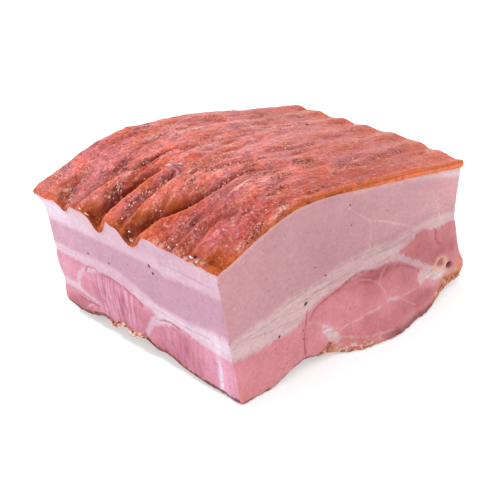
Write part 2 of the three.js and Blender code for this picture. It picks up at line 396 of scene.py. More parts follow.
REAR_CUT = dict(
    pale_foot=[(0, 38.5), (20, 41), (50, 45), (80, 45.5), (118, 42)],
    seam_top=[(0, 27.5), (25, 29), (50, 27), (80, 24.5), (118, 26)],
    seam_foot=[(0, 26.6), (15, 24), (40, 22), (70, 19), (95, 18.5), (118, 20)],
    branches=[([(-2, 12.6), (14, 13.5), (28, 10), (38, 3)], 0.9, 0.3),
              ([(62, 20), (70, 14), (84, 9), (100, 8), (112, 4)], 2.0, 0.5),
              ([(30, 22), (36, 16), (46, 12), (58, 12), (68, 15)], 0.7, 0.3)],
    membranes=[[(14, 24), (16, 18), (14, 13)], [(84, 9), (88, 14), (96, 18)], [(46, 12), (50, 5), (49, 1)],
               [(40, 44), (56, 38), (70, 30)]],
    creases=[[(40, 22), (44, 20), (50, 20)], [(100, 8), (104, 12), (103, 18)]],
    streaks=[[(8, 26), (30, 26), (52, 24)], [(60, 22.5), (84, 21.5), (106, 22)]],
    tones=[(26, 17, 12, 6, 0.4), (60, 7, 16, 6, 0.5), (100, 13, 12, 6, 0.6), (55, 40, 28, 12, 0.5)],
    bark=[(0, 1.3), (20, 1.5), (45, 1.9), (75, 1.3), (100, 2.0), (118, 1.6)],
    warm=[(46, 2.5, 8, 1.6), (98, 3, 6, 2)],
    stripes=[(28, 17, 14, 7, 1.0)],
)

FAR = 99.0
STEPS_BETWEEN = 5


def distance_to(u, v, points, start=0.0, end=0.0):
    """Distance from each place to a smooth line through points, whose half width runs from start to end."""
    corners = np.array(points, float)
    run = np.concatenate([[0], np.cumsum(np.hypot(*np.diff(corners, axis=0).T))])
    fine = np.linspace(0, run[-1], STEPS_BETWEEN * (len(corners) - 1) + 1)
    across = smooth_line(list(zip(run, corners[:, 0])))(fine)
    up = smooth_line(list(zip(run, corners[:, 1])))(fine)
    nearest = np.full(u.shape, FAR)
    for i in range(len(fine) - 1):
        du = across[i + 1] - across[i]
        dv = up[i + 1] - up[i]
        share = np.clip(((u - across[i]) * du + (v - up[i]) * dv) / (du * du + dv * dv), 0, 1)
        half_width = mix(start, end, (i + share) / (len(fine) - 1))
        away = np.hypot(u - across[i] - share * du, v - up[i] - share * dv)
        nearest = np.minimum(nearest, away - half_width)
    return nearest


def spots(u, v, places):
    """Sum of soft spots (across, up, half width, half height, strength)."""
    total = np.zeros_like(u)
    for at, height, wide, high, strength in places:
        total = total + strength * np.exp(-((u - at) / wide) ** 2 - ((v - height) / high) ** 2)
    return total


def read_cut(cut, u, z, foot):
    """The fields of one cut side at places (u, z): distances in millimetres, tones from -1 to 1."""
    seam_top = smooth_line(cut["seam_top"])(u)
    seam_foot = smooth_line(cut["seam_foot"])(u)
    white = np.minimum(seam_top - z, z - seam_foot)
    white = np.maximum(white, z - smooth_line(cut["pale_foot"])(u))
    for branch in cut["branches"]:
        white = np.maximum(white, -distance_to(u, z, *branch))
    found = dict(white_mm=white, lean_mm=0.5 * (seam_top + seam_foot) - z)
    for kind in ("membranes", "creases", "streaks"):
        found[kind] = np.minimum.reduce([distance_to(u, z, points) for points in cut[kind]])
    found["tone"] = spots(u, z, cut["tones"])
    found["warm"] = spots(u, z, [(*place, 1.0) for place in cut["warm"]])
    found["stripes"] = np.zeros_like(u)
    for at, height, wide, high, strength in cut["stripes"]:
        found["stripes"] += strength * np.exp(-((u - at) / wide) ** 4 - ((z - height) / high) ** 4)
    found["bark_mm"] = smooth_line(cut["bark"])(u) - (z - foot)
    return found


# A blood vessel opens on the long cut beside the branch: a pale ring, and an open hole by its side.
# Their edges are shares of their reach.
VESSEL = (103.4, 13.5)
VESSEL_REACH = (4.4, 2.6)
VESSEL_RING = 0.85
VESSEL_WALL = 0.33
VESSEL_WANDER = 0.3
BORE_EDGE = (0.25, 0.7)
HOLE = (108.5, 10.0)
HOLE_REACH = (2.1, 1.4)
HOLE_EDGE = (0.6, 1.15)

# The foot of the long cut: where the smoke burnt it dark, and where white flecks of fat have set on it.
# Each has the stretches over which it comes and goes, and the heights over which it fades upwards.
BURNT_STRETCH = ((60, 70), (91, 98))
BURNT_HEIGHT = (1.0, 4.2)
FLECK_STRETCH = ((41, 45), (56, 64))
FLECK_HEIGHT = (2.0, 4.2)

# The thin brown line along the foot starts a little high at the corner, sinks along the long cut and rises
# again behind it. On the short cut it is higher.
LINE_AT_CORNER = 0.3
LINE_SINKS = 0.8
LINE_SINKS_OVER = (30, 44)
LINE_RISES = 0.5
LINE_RISES_OVER = (56, 66)
LINE_ON_SHORT_CUT = 1.4


def over_stretch(along, rise, fall):
    """1 between two places, and soft steps from and to 0 at them."""
    return fade_in(along, *rise) - fade_in(along, *fall)


MEAT_CELLS = (216, 162, 100)
grid, meat_faces = block_grid(MEAT_CELLS, 2, 3)
s, t, h = (grid / np.array(MEAT_CELLS)).T
along = s * LENGTH
back = t * DEPTH
foot = underside(along, back)
rind_top = crown(along, back)
rind_foot = rind_top - rind_thickness(along, back)

# The meat reaches a little way up into the rind, so that no gap shows between the two
MEAT_TUCK = 0.3
up = h * (rind_foot + MEAT_TUCK - foot)
on_front = t == 0
on_left = (s == 0) & ~on_front
on_right = (s == 1) & ~on_front
on_rear = (t == 1) & ~on_left & ~on_right
on_side = on_front | on_left | on_right | on_rear
cut_height = foot + up

UNDERSIDE_BARK = 5
FIELDS = ("white_mm", "lean_mm", "membranes", "creases", "streaks", "tone", "warm", "stripes", "bark_mm")
fields = {name: np.zeros_like(along) for name in FIELDS}
for name in ("membranes", "creases", "streaks"):
    fields[name][:] = FAR
fields["bark_mm"][:] = UNDERSIDE_BARK
for chosen, cut, u in ((on_front, LONG_CUT, along), (on_left, SHORT_CUT, back),
                       (on_right, RIGHT_CUT, back), (on_rear, REAR_CUT, along)):
    for name, values in read_cut(cut, u[chosen], cut_height[chosen], foot[chosen]).items():
        fields[name][chosen] = values

ring = np.hypot((along - VESSEL[0]) / VESSEL_REACH[0], (cut_height - VESSEL[1]) / VESSEL_REACH[1])
ring += VESSEL_WANDER * rough(along, back, cut_height, (2.6, 2.6, 2.0), 21)
hole = np.hypot((along - HOLE[0]) / HOLE_REACH[0], (cut_height - HOLE[1]) / HOLE_REACH[1])
fields["vessel"] = on_front * np.exp(-((ring - VESSEL_RING) / VESSEL_WALL) ** 2)
fields["bore"] = on_front * (1 - fade_in(ring, *BORE_EDGE))
fields["hole"] = on_front * (1 - fade_in(hole, *HOLE_EDGE))
fields["under_mm"] = rind_foot - cut_height
line_drop = LINE_SINKS * fade_in(along, *LINE_SINKS_OVER) - LINE_RISES * fade_in(along, *LINE_RISES_OVER)
line_drop -= LINE_AT_CORNER
fields["foot_mm"] = up + line_drop * on_front - LINE_ON_SHORT_CUT * on_left
fields["burnt"] = over_stretch(along, *BURNT_STRETCH) * on_front * (1 - fade_in(up, *BURNT_HEIGHT))
fields["flecks"] = on_front * over_stretch(along, *FLECK_STRETCH) * (1 - fade_in(up, *FLECK_HEIGHT))
# Marks the short cut, whose colour gets painted cool light
fields["cool"] = on_left * 1.0

# Relief of the cuts in millimetres: muscles swell a little between their membranes, fat stays level, the
# knife wavers, and the bark at the foot is crusty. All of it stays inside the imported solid's sides.
CUT_INSET = 0.35
MUSCLE_SWELL = 0.7
MUSCLE_REACH = 2.6
KNIFE_WAVE = 0.35
KNIFE_GRAIN = 0.12
SEAM_STREAK = 0.12
MEMBRANE_GROOVE = 0.14
CREASE_GROOVE = 0.3
GROOVE_WIDTH = 0.5
VESSEL_RIM = 0.4
BORE_DEPTH = 0.5
HOLE_DEPTH = 2.6
BARK_CRUST = 0.5
lines = np.minimum(fields["membranes"], fields["creases"])
between = np.minimum(lines, np.maximum(-fields["white_mm"], 0))
relief = MUSCLE_SWELL * fade_in(fields["lean_mm"], -1, 1) * (1 - np.exp(-between / MUSCLE_REACH))
relief += KNIFE_WAVE * rough(along, back, up, (38, 30, 16), 1)
relief += KNIFE_GRAIN * rough(along, back, up, (5, 5, 5), 2)
relief += SEAM_STREAK * fade_in(fields["white_mm"], -0.5, 0.8) * rough(along, back, up, (14, 10, 0.9), 3)
grooves = MEMBRANE_GROOVE * np.exp(-(fields["membranes"] / GROOVE_WIDTH) ** 2)
grooves += CREASE_GROOVE * np.exp(-(fields["creases"] / GROOVE_WIDTH) ** 2)
relief -= grooves
relief += VESSEL_RIM * fields["vessel"] - BORE_DEPTH * fields["bore"] - HOLE_DEPTH * fields["hole"]
crusty = rough(along, back, up, (2.6, 2.6, 1.6), 4) + 0.5 * rough(along, back, up, (1.2, 1.2, 0.9), 7)
relief += BARK_CRUST * fade_in(fields["bark_mm"], -1.5, 1.0) * crusty
relief = relief * on_side - CUT_INSET

# The smoked foot is pitted and crinkled where it dried, but lies flat where the table bears it, and its
# edge is ragged where it stands off the table
DRIED_LIFT = 0.3
DRIED_SWING = 0.5
DRIED_MOST = 1.2
PRESSED_SHARE = 0.25
FOOT_RAGGED = 0.9
OFF_TABLE = (0.4, 2.0)
RAGGED_HEIGHT = 4
UPRIGHT_ROUND = 0.9
FOOT_ROUND = (1.2, 1.4, 1.0, 1.4)
dried = rough(along, back, up, (9, 6, 9), 5) + 0.5 * rough(along, back, up, (2.4, 2.0, 2.4), 6)
foot_relief = np.clip(DRIED_LIFT + DRIED_SWING * dried, 0, DRIED_MOST)
foot_relief = foot_relief * mix(PRESSED_SHARE, 1, fade_in(foot, 0, 1.5))
edge_lift = FOOT_RAGGED * crusty * fade_in(foot, *OFF_TABLE)

sides = (("front", on_front, along), ("left", on_left, back))
along, back = round_uprights(along, back, UPRIGHT_ROUND)
along, back, up = round_rim(along, back, up, FOOT_ROUND)
z = foot + up + np.where(h == 0, foot_relief, 0) + edge_lift * (1 - fade_in(up, 0, RAGGED_HEIGHT))
z = np.maximum(z, 0)
proud = [relief * on_left, relief * on_right, relief * on_front, relief * on_rear]
meat_points = in_place(along, back, z, rind_top, proud)
cut_places = {name: (across[side], cut_height[side], meat_points[side]) for name, side, across in sides}
meat = make_piece("cut_belly", meat_points, meat_faces, {**fields, "on_side": on_side})


def linear(code):
    """An sRGB hex colour as linear RGBA."""
    channels = [int(code[i:i + 2], 16) / 255 for i in (1, 3, 5)]
    return [c / 12.92 if c <= 0.04045 else ((c + 0.055) / 1.055) ** 2.4 for c in channels] + [1.0]


def add_node(tree, kind, settings=None, links=None):
    """Adds one node. settings fills its properties, inputs or colour stops; links joins inputs to nodes."""
    node = tree.nodes.new(kind)

    def live(sockets, name):
        if isinstance(name, int):
            return sockets[name]
        return next(socket for socket in sockets if socket.enabled and socket.name == name)

    for name, value in (settings or {}).items():
        if name == "stops":
            ramp = node.color_ramp
            while len(ramp.elements) < len(value):
                ramp.elements.new(0.5)
            for element, (position, colour) in zip(ramp.elements, value):
                element.position = position
                element.color = linear(colour)
        elif isinstance(name, str) and hasattr(node, name):
            setattr(node, name, value)
        else:
            live(node.inputs, name).default_value = value
    for name, source in (links or {}).items():
        if isinstance(source, bpy.types.Node):
            source = next(socket for socket in source.outputs if socket.enabled)
        tree.links.new(source, live(node.inputs, name))
    return node


def new_material(name, fields=()):
    """A material, its empty tree, its place in millimetres, and the surface fields that it reads."""
    material = bpy.data.materials.new(name)
    material.use_nodes = True
    tree = material.node_tree
    tree.nodes.clear()
    where = add_node(tree, "ShaderNodeTexCoord")
    in_mm = add_node(tree, "ShaderNodeMapping", {"Scale": (1000, 1000, 1000)},
                     {"Vector": where.outputs["Object"]})
    field = {name: add_node(tree, "ShaderNodeAttribute", {"attribute_name": name}).outputs["Fac"]
             for name in fields}
    return material, tree, in_mm, field


def paint_over(tree, under, over, mask, strength=1.0, within=None):
    """Lays a colour, as a hex code or a node, over another where a mask, and a second one, say so."""
    if within is not None:
        mask = add_node(tree, "ShaderNodeMath", {"operation": "MULTIPLY"}, {0: mask, 1: within})
    if strength != 1.0:
        mask = add_node(tree, "ShaderNodeMath", {"operation": "MULTIPLY", 1: strength}, {0: mask})
    if isinstance(over, str):
        return add_node(tree, "ShaderNodeMix", {"data_type": "RGBA", "B": linear(over)},
                        {"Factor": mask, "A": under})
    return add_node(tree, "ShaderNodeMix", {"data_type": "RGBA"}, {"Factor": mask, "A": under, "B": over})


def vary(tree, colour, light, share=1.0):
    """Makes a colour lighter, darker or of another tint by a factor, as far as share says."""
    links = {"A": colour}
    settings = {"data_type": "RGBA", "blend_type": "MULTIPLY"}
    for name, value in (("B", light), ("Factor", share)):
        (settings if isinstance(value, (float, tuple)) else links)[name] = value
    return add_node(tree, "ShaderNodeMix", settings, links)


def grade(tree, value, start, end, low=0.0, high=1.0, smooth=False):
    """Turns a value from start to end into one from low to high."""
    return add_node(tree, "ShaderNodeMapRange", {"interpolation_type": "SMOOTHSTEP" if smooth else "LINEAR",
                    "From Min": start, "From Max": end, "To Min": low, "To Max": high}, {"Value": value})


def clouds(tree, in_mm, size, detail=3.0, roughness=0.6):
    """Soft noise with lumps of the given size in millimetres, one number or one for each axis."""
    if isinstance(size, tuple):
        in_mm = add_node(tree, "ShaderNodeMapping", {"Scale": tuple(1 / one for one in size)},
                         {"Vector": in_mm})
        size = 1.0
    return add_node(tree, "ShaderNodeTexNoise", {"Scale": 1 / size, "Detail": detail, "Roughness": roughness},
                    {"Vector": in_mm})


def end_in(tree, settings, links):
    """Ends a material in one surface."""
    surface = add_node(tree, "ShaderNodeBsdfPrincipled", settings, links)
    add_node(tree, "ShaderNodeOutputMaterial", links={"Surface": surface})


# Cured pork, cut with a sharp knife: moist and softly glossy. Light sinks a millimetre or two into the
# fat and the lean before it comes out again, which keeps every layer's edge soft and its shadows warm.
FAT_WHITE = "#dec6c8"
FAT_PALE = "#d3b2b3"
FAT_GREY = "#be9797"
FAT_DUSK = "#c08f99"
CURED_LIGHT = "#d79fa3"
CURED_ROSE = "#c38e95"
CURED_DUSK = "#b4838a"
LEAN_LIGHT = "#dc979f"
LEAN_PINK = "#d2838a"
LEAN_DARK = "#af5a5f"
MEMBRANE = "#ddb0ae"
CREASE = "#a45258"
STREAK = "#b09088"
BARK_ORANGE = "#b8592c"
BARK_BROWN = "#5c241c"
BARK_RED = "#6a2c28"
FAT_AMBER = "#cf7c48"
VESSEL_PALE = "#dca98a"
HOLE_SHADE = "#120403"
SPECK = "#8e5c64"
SMOKED_FAT = "#d89a86"
FIBRE_LIGHT = "#dda2ae"
FIBRE_DARK = "#ac5c72"
BARK_CREAM = "#d8a682"
COOL_LIGHT_TINT = (0.93, 0.96, 1.0, 1)
LILAC_LIGHT_TINT = (1.0, 1.03, 1.18, 1)

cut_pork, tree, in_mm, field = new_material("cured_pork_cut", fields)
wander = grade(tree, clouds(tree, in_mm, 2.2), 0, 1, -0.9, 0.9)
white_edge = add_node(tree, "ShaderNodeMath", {"operation": "ADD"}, {0: field["white_mm"], 1: wander})
fraying = grade(tree, clouds(tree, in_mm, 3.6, 4.0, 0.6), 0.25, 0.75, -0.6, 0.5)
frayed_edge = add_node(tree, "ShaderNodeMath", {"operation": "ADD"}, {0: white_edge, 1: fraying})
below_seam = grade(tree, field["lean_mm"], -0.8, 0.8, smooth=True)
is_white = add_node(tree, "ShaderNodeMix", {"data_type": "FLOAT"},
                    {"Factor": below_seam, "A": grade(tree, white_edge, -1.3, 1.1, smooth=True),
                     "B": grade(tree, frayed_edge, -0.9, 0.7, smooth=True)})
blotches = clouds(tree, in_mm, 7, 4.0)
tone_sum = add_node(tree, "ShaderNodeMath", {"operation": "ADD"},
                    {0: field["tone"], 1: grade(tree, blotches, 0.25, 0.75, -0.28, 0.28)})
tone_share = grade(tree, tone_sum, -1, 1)
cured = add_node(tree, "ShaderNodeValToRGB",
                 {"stops": [(0.0, CURED_LIGHT), (0.5, CURED_ROSE), (1.0, CURED_DUSK)]}, {"Fac": tone_share})
lean = add_node(tree, "ShaderNodeValToRGB",
                {"stops": [(0.1, LEAN_LIGHT), (0.5, LEAN_PINK), (1.0, LEAN_DARK)]}, {"Fac": tone_share})
colour = paint_over(tree, cured, lean, below_seam)
# Painted cool light: the short cut's colour is made a little colder
colour = vary(tree, colour, COOL_LIGHT_TINT, field["cool"])

# Muscle fibres show as light and dark bands where the knife ran along them, 2 to 4 mm apart
bands = clouds(tree, in_mm, (1.6, 1.6, 30), 3.0, 0.65)
fibres = add_node(tree, "ShaderNodeValToRGB", {"stops": [(0.38, FIBRE_DARK), (0.62, FIBRE_LIGHT)]},
                  {"Fac": bands})
colour = paint_over(tree, colour, fibres, field["stripes"], 0.7)

# Streaks of grey connective tissue lie in the white seam, drawn out along it
drawn_out = clouds(tree, in_mm, (16, 16, 1.1), 4.0, 0.65)
in_seam = add_node(tree, "ShaderNodeMath", {"operation": "MULTIPLY_ADD", 1: -0.6},
                   {0: field["cool"], 2: grade(tree, field["lean_mm"], -10, -6)})
fat = add_node(tree, "ShaderNodeValToRGB", {"stops": [(0.0, FAT_WHITE), (0.4, FAT_PALE), (1.0, FAT_DUSK)]},
               {"Fac": tone_share})
fat = paint_over(tree, fat, FAT_GREY, grade(tree, drawn_out, 0.5, 0.34), within=in_seam)
colour = paint_over(tree, colour, fat, is_white)

# Membranes, creases and streaks wander off their lines by half a millimetre, and come and go along them
comes_and_goes = grade(tree, clouds(tree, in_mm, 5.0, 2.0), 0.38, 0.58, 0.35, 1.0)
for name, thin, wide, tint, strength in (("membranes", 0.0, 0.7, MEMBRANE, 0.65),
                                         ("creases", 0.1, 0.65, CREASE, 0.75),
                                         ("streaks", 0.0, 0.65, STREAK, 0.8)):
    line_edge = add_node(tree, "ShaderNodeMath", {"operation": "MULTIPLY_ADD", 1: 0.5},
                         {0: wander, 2: field[name]})
    line_share = grade(tree, line_edge, thin, wide, strength, 0.0, smooth=True)
    colour = paint_over(tree, colour, tint, line_share, within=comes_and_goes)

# Fine grain of the meat: fibre ends half a millimetre apart, and here and there a tiny dark spot
grain = clouds(tree, in_mm, 0.9, 3.0, 0.7)
colour = vary(tree, colour, grade(tree, grain, 0.3, 0.7, 0.91, 1.09))
flecked = clouds(tree, in_mm, (2.2, 2.2, 1.4), 4.0, 0.7)
colour = vary(tree, colour, grade(tree, flecked, 0.3, 0.7, 0.93, 1.07))
colour = paint_over(tree, colour, SPECK, grade(tree, clouds(tree, in_mm, 1.7, 1.0), 0.29, 0.24, 0.0, 0.4))

# The short cut is a shade more lilac: painted cool light, as from the cool lamp at its side. Right under the
# rind the smoke has tinted the fat.
colour = vary(tree, colour, LILAC_LIGHT_TINT, field["cool"])
smoked = grade(tree, field["under_mm"], 0.1, 1.6, 0.45, 0.0, smooth=True)
colour = paint_over(tree, colour, SMOKED_FAT, smoked)

# The outside that the smoke reached: amber fat, then orange and brown bark
bark_noise = clouds(tree, in_mm, 2.6, 5.0, 0.72)
bark_edge = add_node(tree, "ShaderNodeMath", {"operation": "ADD"},
                     {0: field["bark_mm"], 1: grade(tree, bark_noise, 0, 1, -2.2, 2.2)})
bark = add_node(tree, "ShaderNodeValToRGB",
                {"stops": [(0.35, BARK_BROWN), (0.48, BARK_ORANGE), (0.63, BARK_CREAM)]}, {"Fac": bark_noise})
colour = paint_over(tree, colour, FAT_AMBER, field["warm"], 0.8,
                    within=grade(tree, bark_noise, 0.4, 0.6, 0.25, 1.0))
colour = paint_over(tree, colour, bark, grade(tree, bark_edge, -0.3, 1.2, smooth=True))
singed_edge = add_node(tree, "ShaderNodeMath", {"operation": "ADD"},
                       {0: field["foot_mm"], 1: grade(tree, bark_noise, 0.3, 0.7, -0.5, 0.5)})
colour = paint_over(tree, colour, BARK_BROWN, grade(tree, singed_edge, 0.25, 0.95, 0.85, 0.0, smooth=True))
colour = paint_over(tree, colour, BARK_RED, field["burnt"],
                    within=grade(tree, bark_noise, 0.35, 0.6, 1.0, 0.6))
fleck_noise = clouds(tree, in_mm, (1.6, 1.6, 0.9), 3.0)
colour = paint_over(tree, colour, FAT_WHITE, field["flecks"], 0.85, within=grade(tree, fleck_noise, 0.5, 0.6))
colour = paint_over(tree, colour, VESSEL_PALE, field["vessel"], 0.85)
# The bore and the hole are painted dark: painted shade in their hollows
colour = paint_over(tree, colour, CREASE, field["bore"], 0.8)
colour = paint_over(tree, colour, HOLE_SHADE, field["hole"])

fine_bump = add_node(tree, "ShaderNodeBump", {"Strength": 0.35, "Distance": 0.00018}, {"Height": grain})
bark_bump = add_node(tree, "ShaderNodeBump", {"Strength": 0.5, "Distance": 0.0005},
                     {"Height": bark_noise, "Normal": fine_bump})
end_in(tree, {"IOR": 1.42, "Specular IOR Level": 0.4, "Subsurface Weight": 0.3,
              "Subsurface Radius": (1.0, 0.42, 0.36), "Subsurface Scale": 0.002},
       {"Base Color": colour, "Roughness": grade(tree, blotches, 0.3, 0.7, 0.38, 0.55), "Normal": bark_bump})
meat.data.materials.append(cut_pork)
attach(meat, "root")
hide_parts("bacon_slab")

# The scraps at the foot
# Where the belly was trimmed from the ribs, small rags of fat and membrane still hang at the foot of the
# cuts, 2 to 5 mm long. They have dried creamy and half see-through, and cling flat to the meat.
# Each scrap: the side it hangs on, its place across and up, its half sizes along, across and out, its slope.
SCRAPS = [
    ("left", 44.5, 7.4, 1.4, 0.7, 0.5, 20), ("left", 46.6, 7.0, 1.9, 0.8, 0.8, -15),
    ("left", 49.0, 6.0, 2.4, 0.8, 0.9, -25), ("left", 51.2, 5.4, 1.5, 0.7, 0.7, 25),
    ("left", 53.4, 6.4, 1.3, 0.6, 0.5, 5), ("left", 55.8, 6.6, 2.3, 0.7, 0.8, -25),
    ("left", 58.6, 5.4, 2.6, 0.8, 0.9, -30), ("left", 60.8, 4.4, 1.5, 0.6, 0.7, -20),
    ("left", 62.4, 5.6, 1.1, 0.5, 0.5, 0), ("front", 36.8, 3.0, 1.3, 0.6, 0.5, 0),
    ("front", 38.6, 3.6, 1.6, 0.8, 0.7, 15), ("front", 40.4, 4.4, 1.7, 1.0, 0.8, 40),
    ("front", 41.6, 3.0, 1.7, 0.8, 0.5, -10),
]
SCRAP_SEED = 31
OUTWARD = {"front": (0.0, -1.0, 0.0), "left": (-1.0, 0.0, -0.1)}
LUMP_UNEVEN = 0.45
LUMP_BUMPS = (0.8, 0.8, 0.8)


def cut_point(side, across, up):
    """The point of a cut side nearest to a place across it and up."""
    at, height, points = cut_places[side]
    return points[np.argmin(np.hypot(at - across, height - up))]


def along_cut(side, slope):
    """The direction that runs along a cut side and climbs at a slope in degrees."""
    level, climb = math.cos(math.radians(slope)), math.sin(math.radians(slope))
    return (level, 0.0, climb) if side == "front" else (0.0, level, climb)


def make_lumps(name, lumps, seed):
    """One mesh of small uneven lumps, each with its place, direction, outward side and half sizes in mm."""
    form = bmesh.new()
    bmesh.ops.create_icosphere(form, subdivisions=3, radius=1.0)
    ball = np.array([corner.co for corner in form.verts])
    ball_faces = np.array([[corner.index for corner in face.verts] for face in form.faces])
    form.free()
    points = []
    faces = []
    for number, (place, run, outward, sizes) in enumerate(lumps):
        run = np.array(run) / np.linalg.norm(run)
        across = np.cross(outward, run)
        across = across / np.linalg.norm(across)
        uneven = 1 + LUMP_UNEVEN * rough(*ball.T, LUMP_BUMPS, seed + number)
        shaped = ball * uneven[:, None] * np.array(sizes) / 1000
        faces.extend((ball_faces + len(ball) * number).tolist())
        points.append(place + shaped @ np.array([run, across, np.cross(run, across)]))
    return make_piece(name, np.concatenate(points), faces)


hung = [(cut_point(side, across, up), along_cut(side, slope), OUTWARD[side], half_sizes)
        for side, across, up, *half_sizes, slope in SCRAPS]
scraps = make_lumps("foot_scraps", hung, SCRAP_SEED)

# Dried fat: white where it is thick, amber where it is thin, with a dull gloss
RAG_AMBER = "#a05a34"
RAG_ROSE = "#cc9076"
RAG_WHITE = "#ecd4cc"
dried_rag, tree, in_mm, _ = new_material("dried_fat_rags")
rag_tint = add_node(tree, "ShaderNodeValToRGB",
                    {"stops": [(0.36, RAG_AMBER), (0.5, RAG_ROSE), (0.64, RAG_WHITE)]},
                    {"Fac": clouds(tree, in_mm, 1.9, 3.0, 0.6)})
rag_bump = add_node(tree, "ShaderNodeBump", {"Strength": 0.6, "Distance": 0.0003},
                    {"Height": clouds(tree, in_mm, 0.5, 3.0)})
end_in(tree, {"Roughness": 0.35, "Subsurface Weight": 0.3, "Subsurface Radius": (1.0, 0.6, 0.4),
              "Subsurface Scale": 0.001}, {"Base Color": rag_tint, "Normal": rag_bump})
scraps.data.materials.append(dried_rag)
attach(scraps, "root")

# The rind
# Pork skin, scalded, salted and smoked until it is leathery. It stays 2 to 3 mm thick, stands a little
# proud of the softer fat at every cut, and carries the folds, small creases and the dotted bristle pores.
RIND_CELLS = (290, 224, 9)
RIND_PROUD = (0.15, 0.45, 0.45, 0.45)
RIND_ROUND = (1.6, 1.6, 1.0, 1.6)
RIND_UNDERCUT = (0.2, 0.5, 0.5, 0.5)
RIND_UPRIGHT_ROUND = 1.0
ROUND_SHARE = 0.85

# Heights of the skin's relief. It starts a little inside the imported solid's top, and is nowhere thinner
# than half a millimetre.
RIND_INSET = 0.35
THINNEST = 0.5
RIDGE_HEIGHT = 0.38
LUMP_HEIGHT = 0.32
STRAND_HEIGHT = 0.24
CRINKLE_HEIGHT = 0.12
CROSS_HEIGHT = 0.2
PEBBLE_HEIGHT = 0.4
PEBBLE_LEVEL = 0.6
CREASE_LIP = 0.3
CRACK_LIP = 0.2

# Fine wrinkles cross the ridges near the short cut and die out over a stretch. Further on the skin's fine
# relief is calmer, and its ridges are low in the middle of the long side.
CROSS_DIES = (25, 60)
CALM_SHARE = 0.6
CALM_FROM = (40, 75)
LOW_SHARE = 0.5
LOW_STRETCH = ((35, 55), (80, 100))
LOW_BACK = (50, 65)

# How deep a fold is where it starts to redden, at the short cut and further in, and where its floor starts,
# in the front fold and in the two behind it. From there on each grows stronger over a further depth. The red
# is partly the skin's own and partly painted shade; the dark of the floors and of the crack is painted shade.
RED_DEPTH = (1.8, 0.7)
RED_REACH = 9
RED_GROWS = 2.8
FLOOR_DEPTH = (2.6, 1.5)
FLOOR_GROWS = 1.4
CRACK_FLOOR_DEPTH = 0.4
CRACK_FLOOR_GROWS = 0.6

# At the short cut the light reaches into the folds: they are half as red there, and the dark of their
# floors starts only further in
MOUTH_RED = 0.5
MOUTH_RED_REACH = 7
FLOOR_COMES = (1, 7)

# How deep a fold and a crease are where the colour of their lips is full, and how red a crease is for each
# millimetre of its depth, for the listed ones and for the small ones
FULL_LIP = (4.0, 3.0)
CREASE_RED_SHARES = (0.55, 0.7)

# The orange of the far banks fades over a stretch of the length, a shorter one in the folds behind, and is
# weakest in the last of them. The folds behind begin over these stretches of the depth: for the dark floors,
# for the reach of the orange and for its strength.
BANK_FADES = (14, 30)
FOLDS_BEHIND = ((46, 50), (48, 52), (64, 68))
BANK_SHORTER = 0.6
BANK_WEAKER = 0.7

# Where the smoke tanned the skin to red-brown, where it stayed pink (a strength below 0), and where it is
# thick and mauve: along, back, reach both ways, strength. Some red-brown spots are painted shade beside the
# folds, and some pink ones are painted highlights on the ridges.
RIND_TAN_AND_LIGHT = [
    (40, 6, 36, 9, 0.55), (5, 5, 6, 6, 1.2), (2, 24, 4, 9, 0.5), (62, 4, 50, 5, 0.35), (18, 6, 9, 5, 0.5),
    (110, 40, 12, 46, 0.35), (104, 26, 10, 14, 0.3), (88, 78, 12, 6, 0.5), (112, 10, 8, 14, 0.4),
    (80, 68, 16, 14, 0.4), (84, 26, 14, 26, 0.4), (8, 29, 7, 4, 0.7), (14, 28, 5, 3, 0.5),
    (3, 20, 3, 2, 0.7), (20, 65.5, 5, 4, -0.8), (20, 44, 4, 3, -0.6), (21, 33, 3, 2, -0.8),
    (18, 79, 14, 7, 0.6), (36, 26, 4, 3, -0.7), (36, 56, 4, 3, -0.6), (28, 62, 4, 2, 0.5),
    (28, 20, 4, 3, 0.6), (64, 5, 14, 5, 0.35), (10, 8, 13, 4, 0.45), (20, 3, 4, 2, -0.4),
    (36, 76, 6, 5, 0.5), (66, 32, 5, 3, -0.5), (8, 35, 10, 4, 0.8), (14, 47, 14, 3, 0.3),
    (12, 56, 12, 4, 0.8), (14, 61, 14, 2, 0.3), (88, 12, 20, 7, 0.5), (114, 48, 10, 42, 0.9),
    (98, 85, 26, 9, 0.3), (22, 42, 10, 4, -0.3), (28, 62.5, 6, 2.5, -1.1), (28, 44, 4, 3, -0.5),
    (14, 38.5, 4, 2.5, -0.5), (28, 32.5, 4, 2.5, -0.6), (46, 25, 5, 3, -0.9), (46, 20, 5, 3, -0.5),
    (17, 68.5, 6, 3, -0.5), (8, 45, 5, 3, 0.7), (2, 29, 3, 10, 0.9), (14, 26, 4, 2.5, 1.0),
    (10, 31.5, 5, 2, 0.5), (14, 14, 5, 2.5, 0.6), (78, 26, 6, 3, 0.4), (102, 62, 5, 9, -0.4),
    (90, 72, 8, 8, 0.5), (88, 31, 8, 5, 0.4), (90, 14, 6, 3, -0.5), (61, 6, 12, 6, 0.5),
    (66, 14, 4, 2, -0.5), (78, 44, 16, 4, 0.4), (70, 20, 12, 5, 0.5), (54, 78, 12, 7, 0.3),
    (59, 77.5, 7, 2.6, 0.6), (90, 48, 14, 14, 0.2), (78, 58, 7, 3.5, -1.2), (35, 72, 10, 4, -0.5),
    (56, 72, 10, 5, -0.5), (60, 47, 22, 9, -0.35), (24, 37, 9, 5, -0.3), (44, 42, 12, 6, -0.4),
    (5, 85, 8, 5, -0.3),
]
RIND_MAUVE = [
    (19, 78, 8, 5, 0.7), (12, 71, 16, 6, 0.8), (14, 11, 14, 7, 0.7), (26, 22, 16, 5, 0.5),
    (8, 22, 8, 3, 0.5), (74, 20, 11, 5, 0.5), (95, 24, 10, 5, 0.2), (60, 50, 30, 16, 0.25),
]
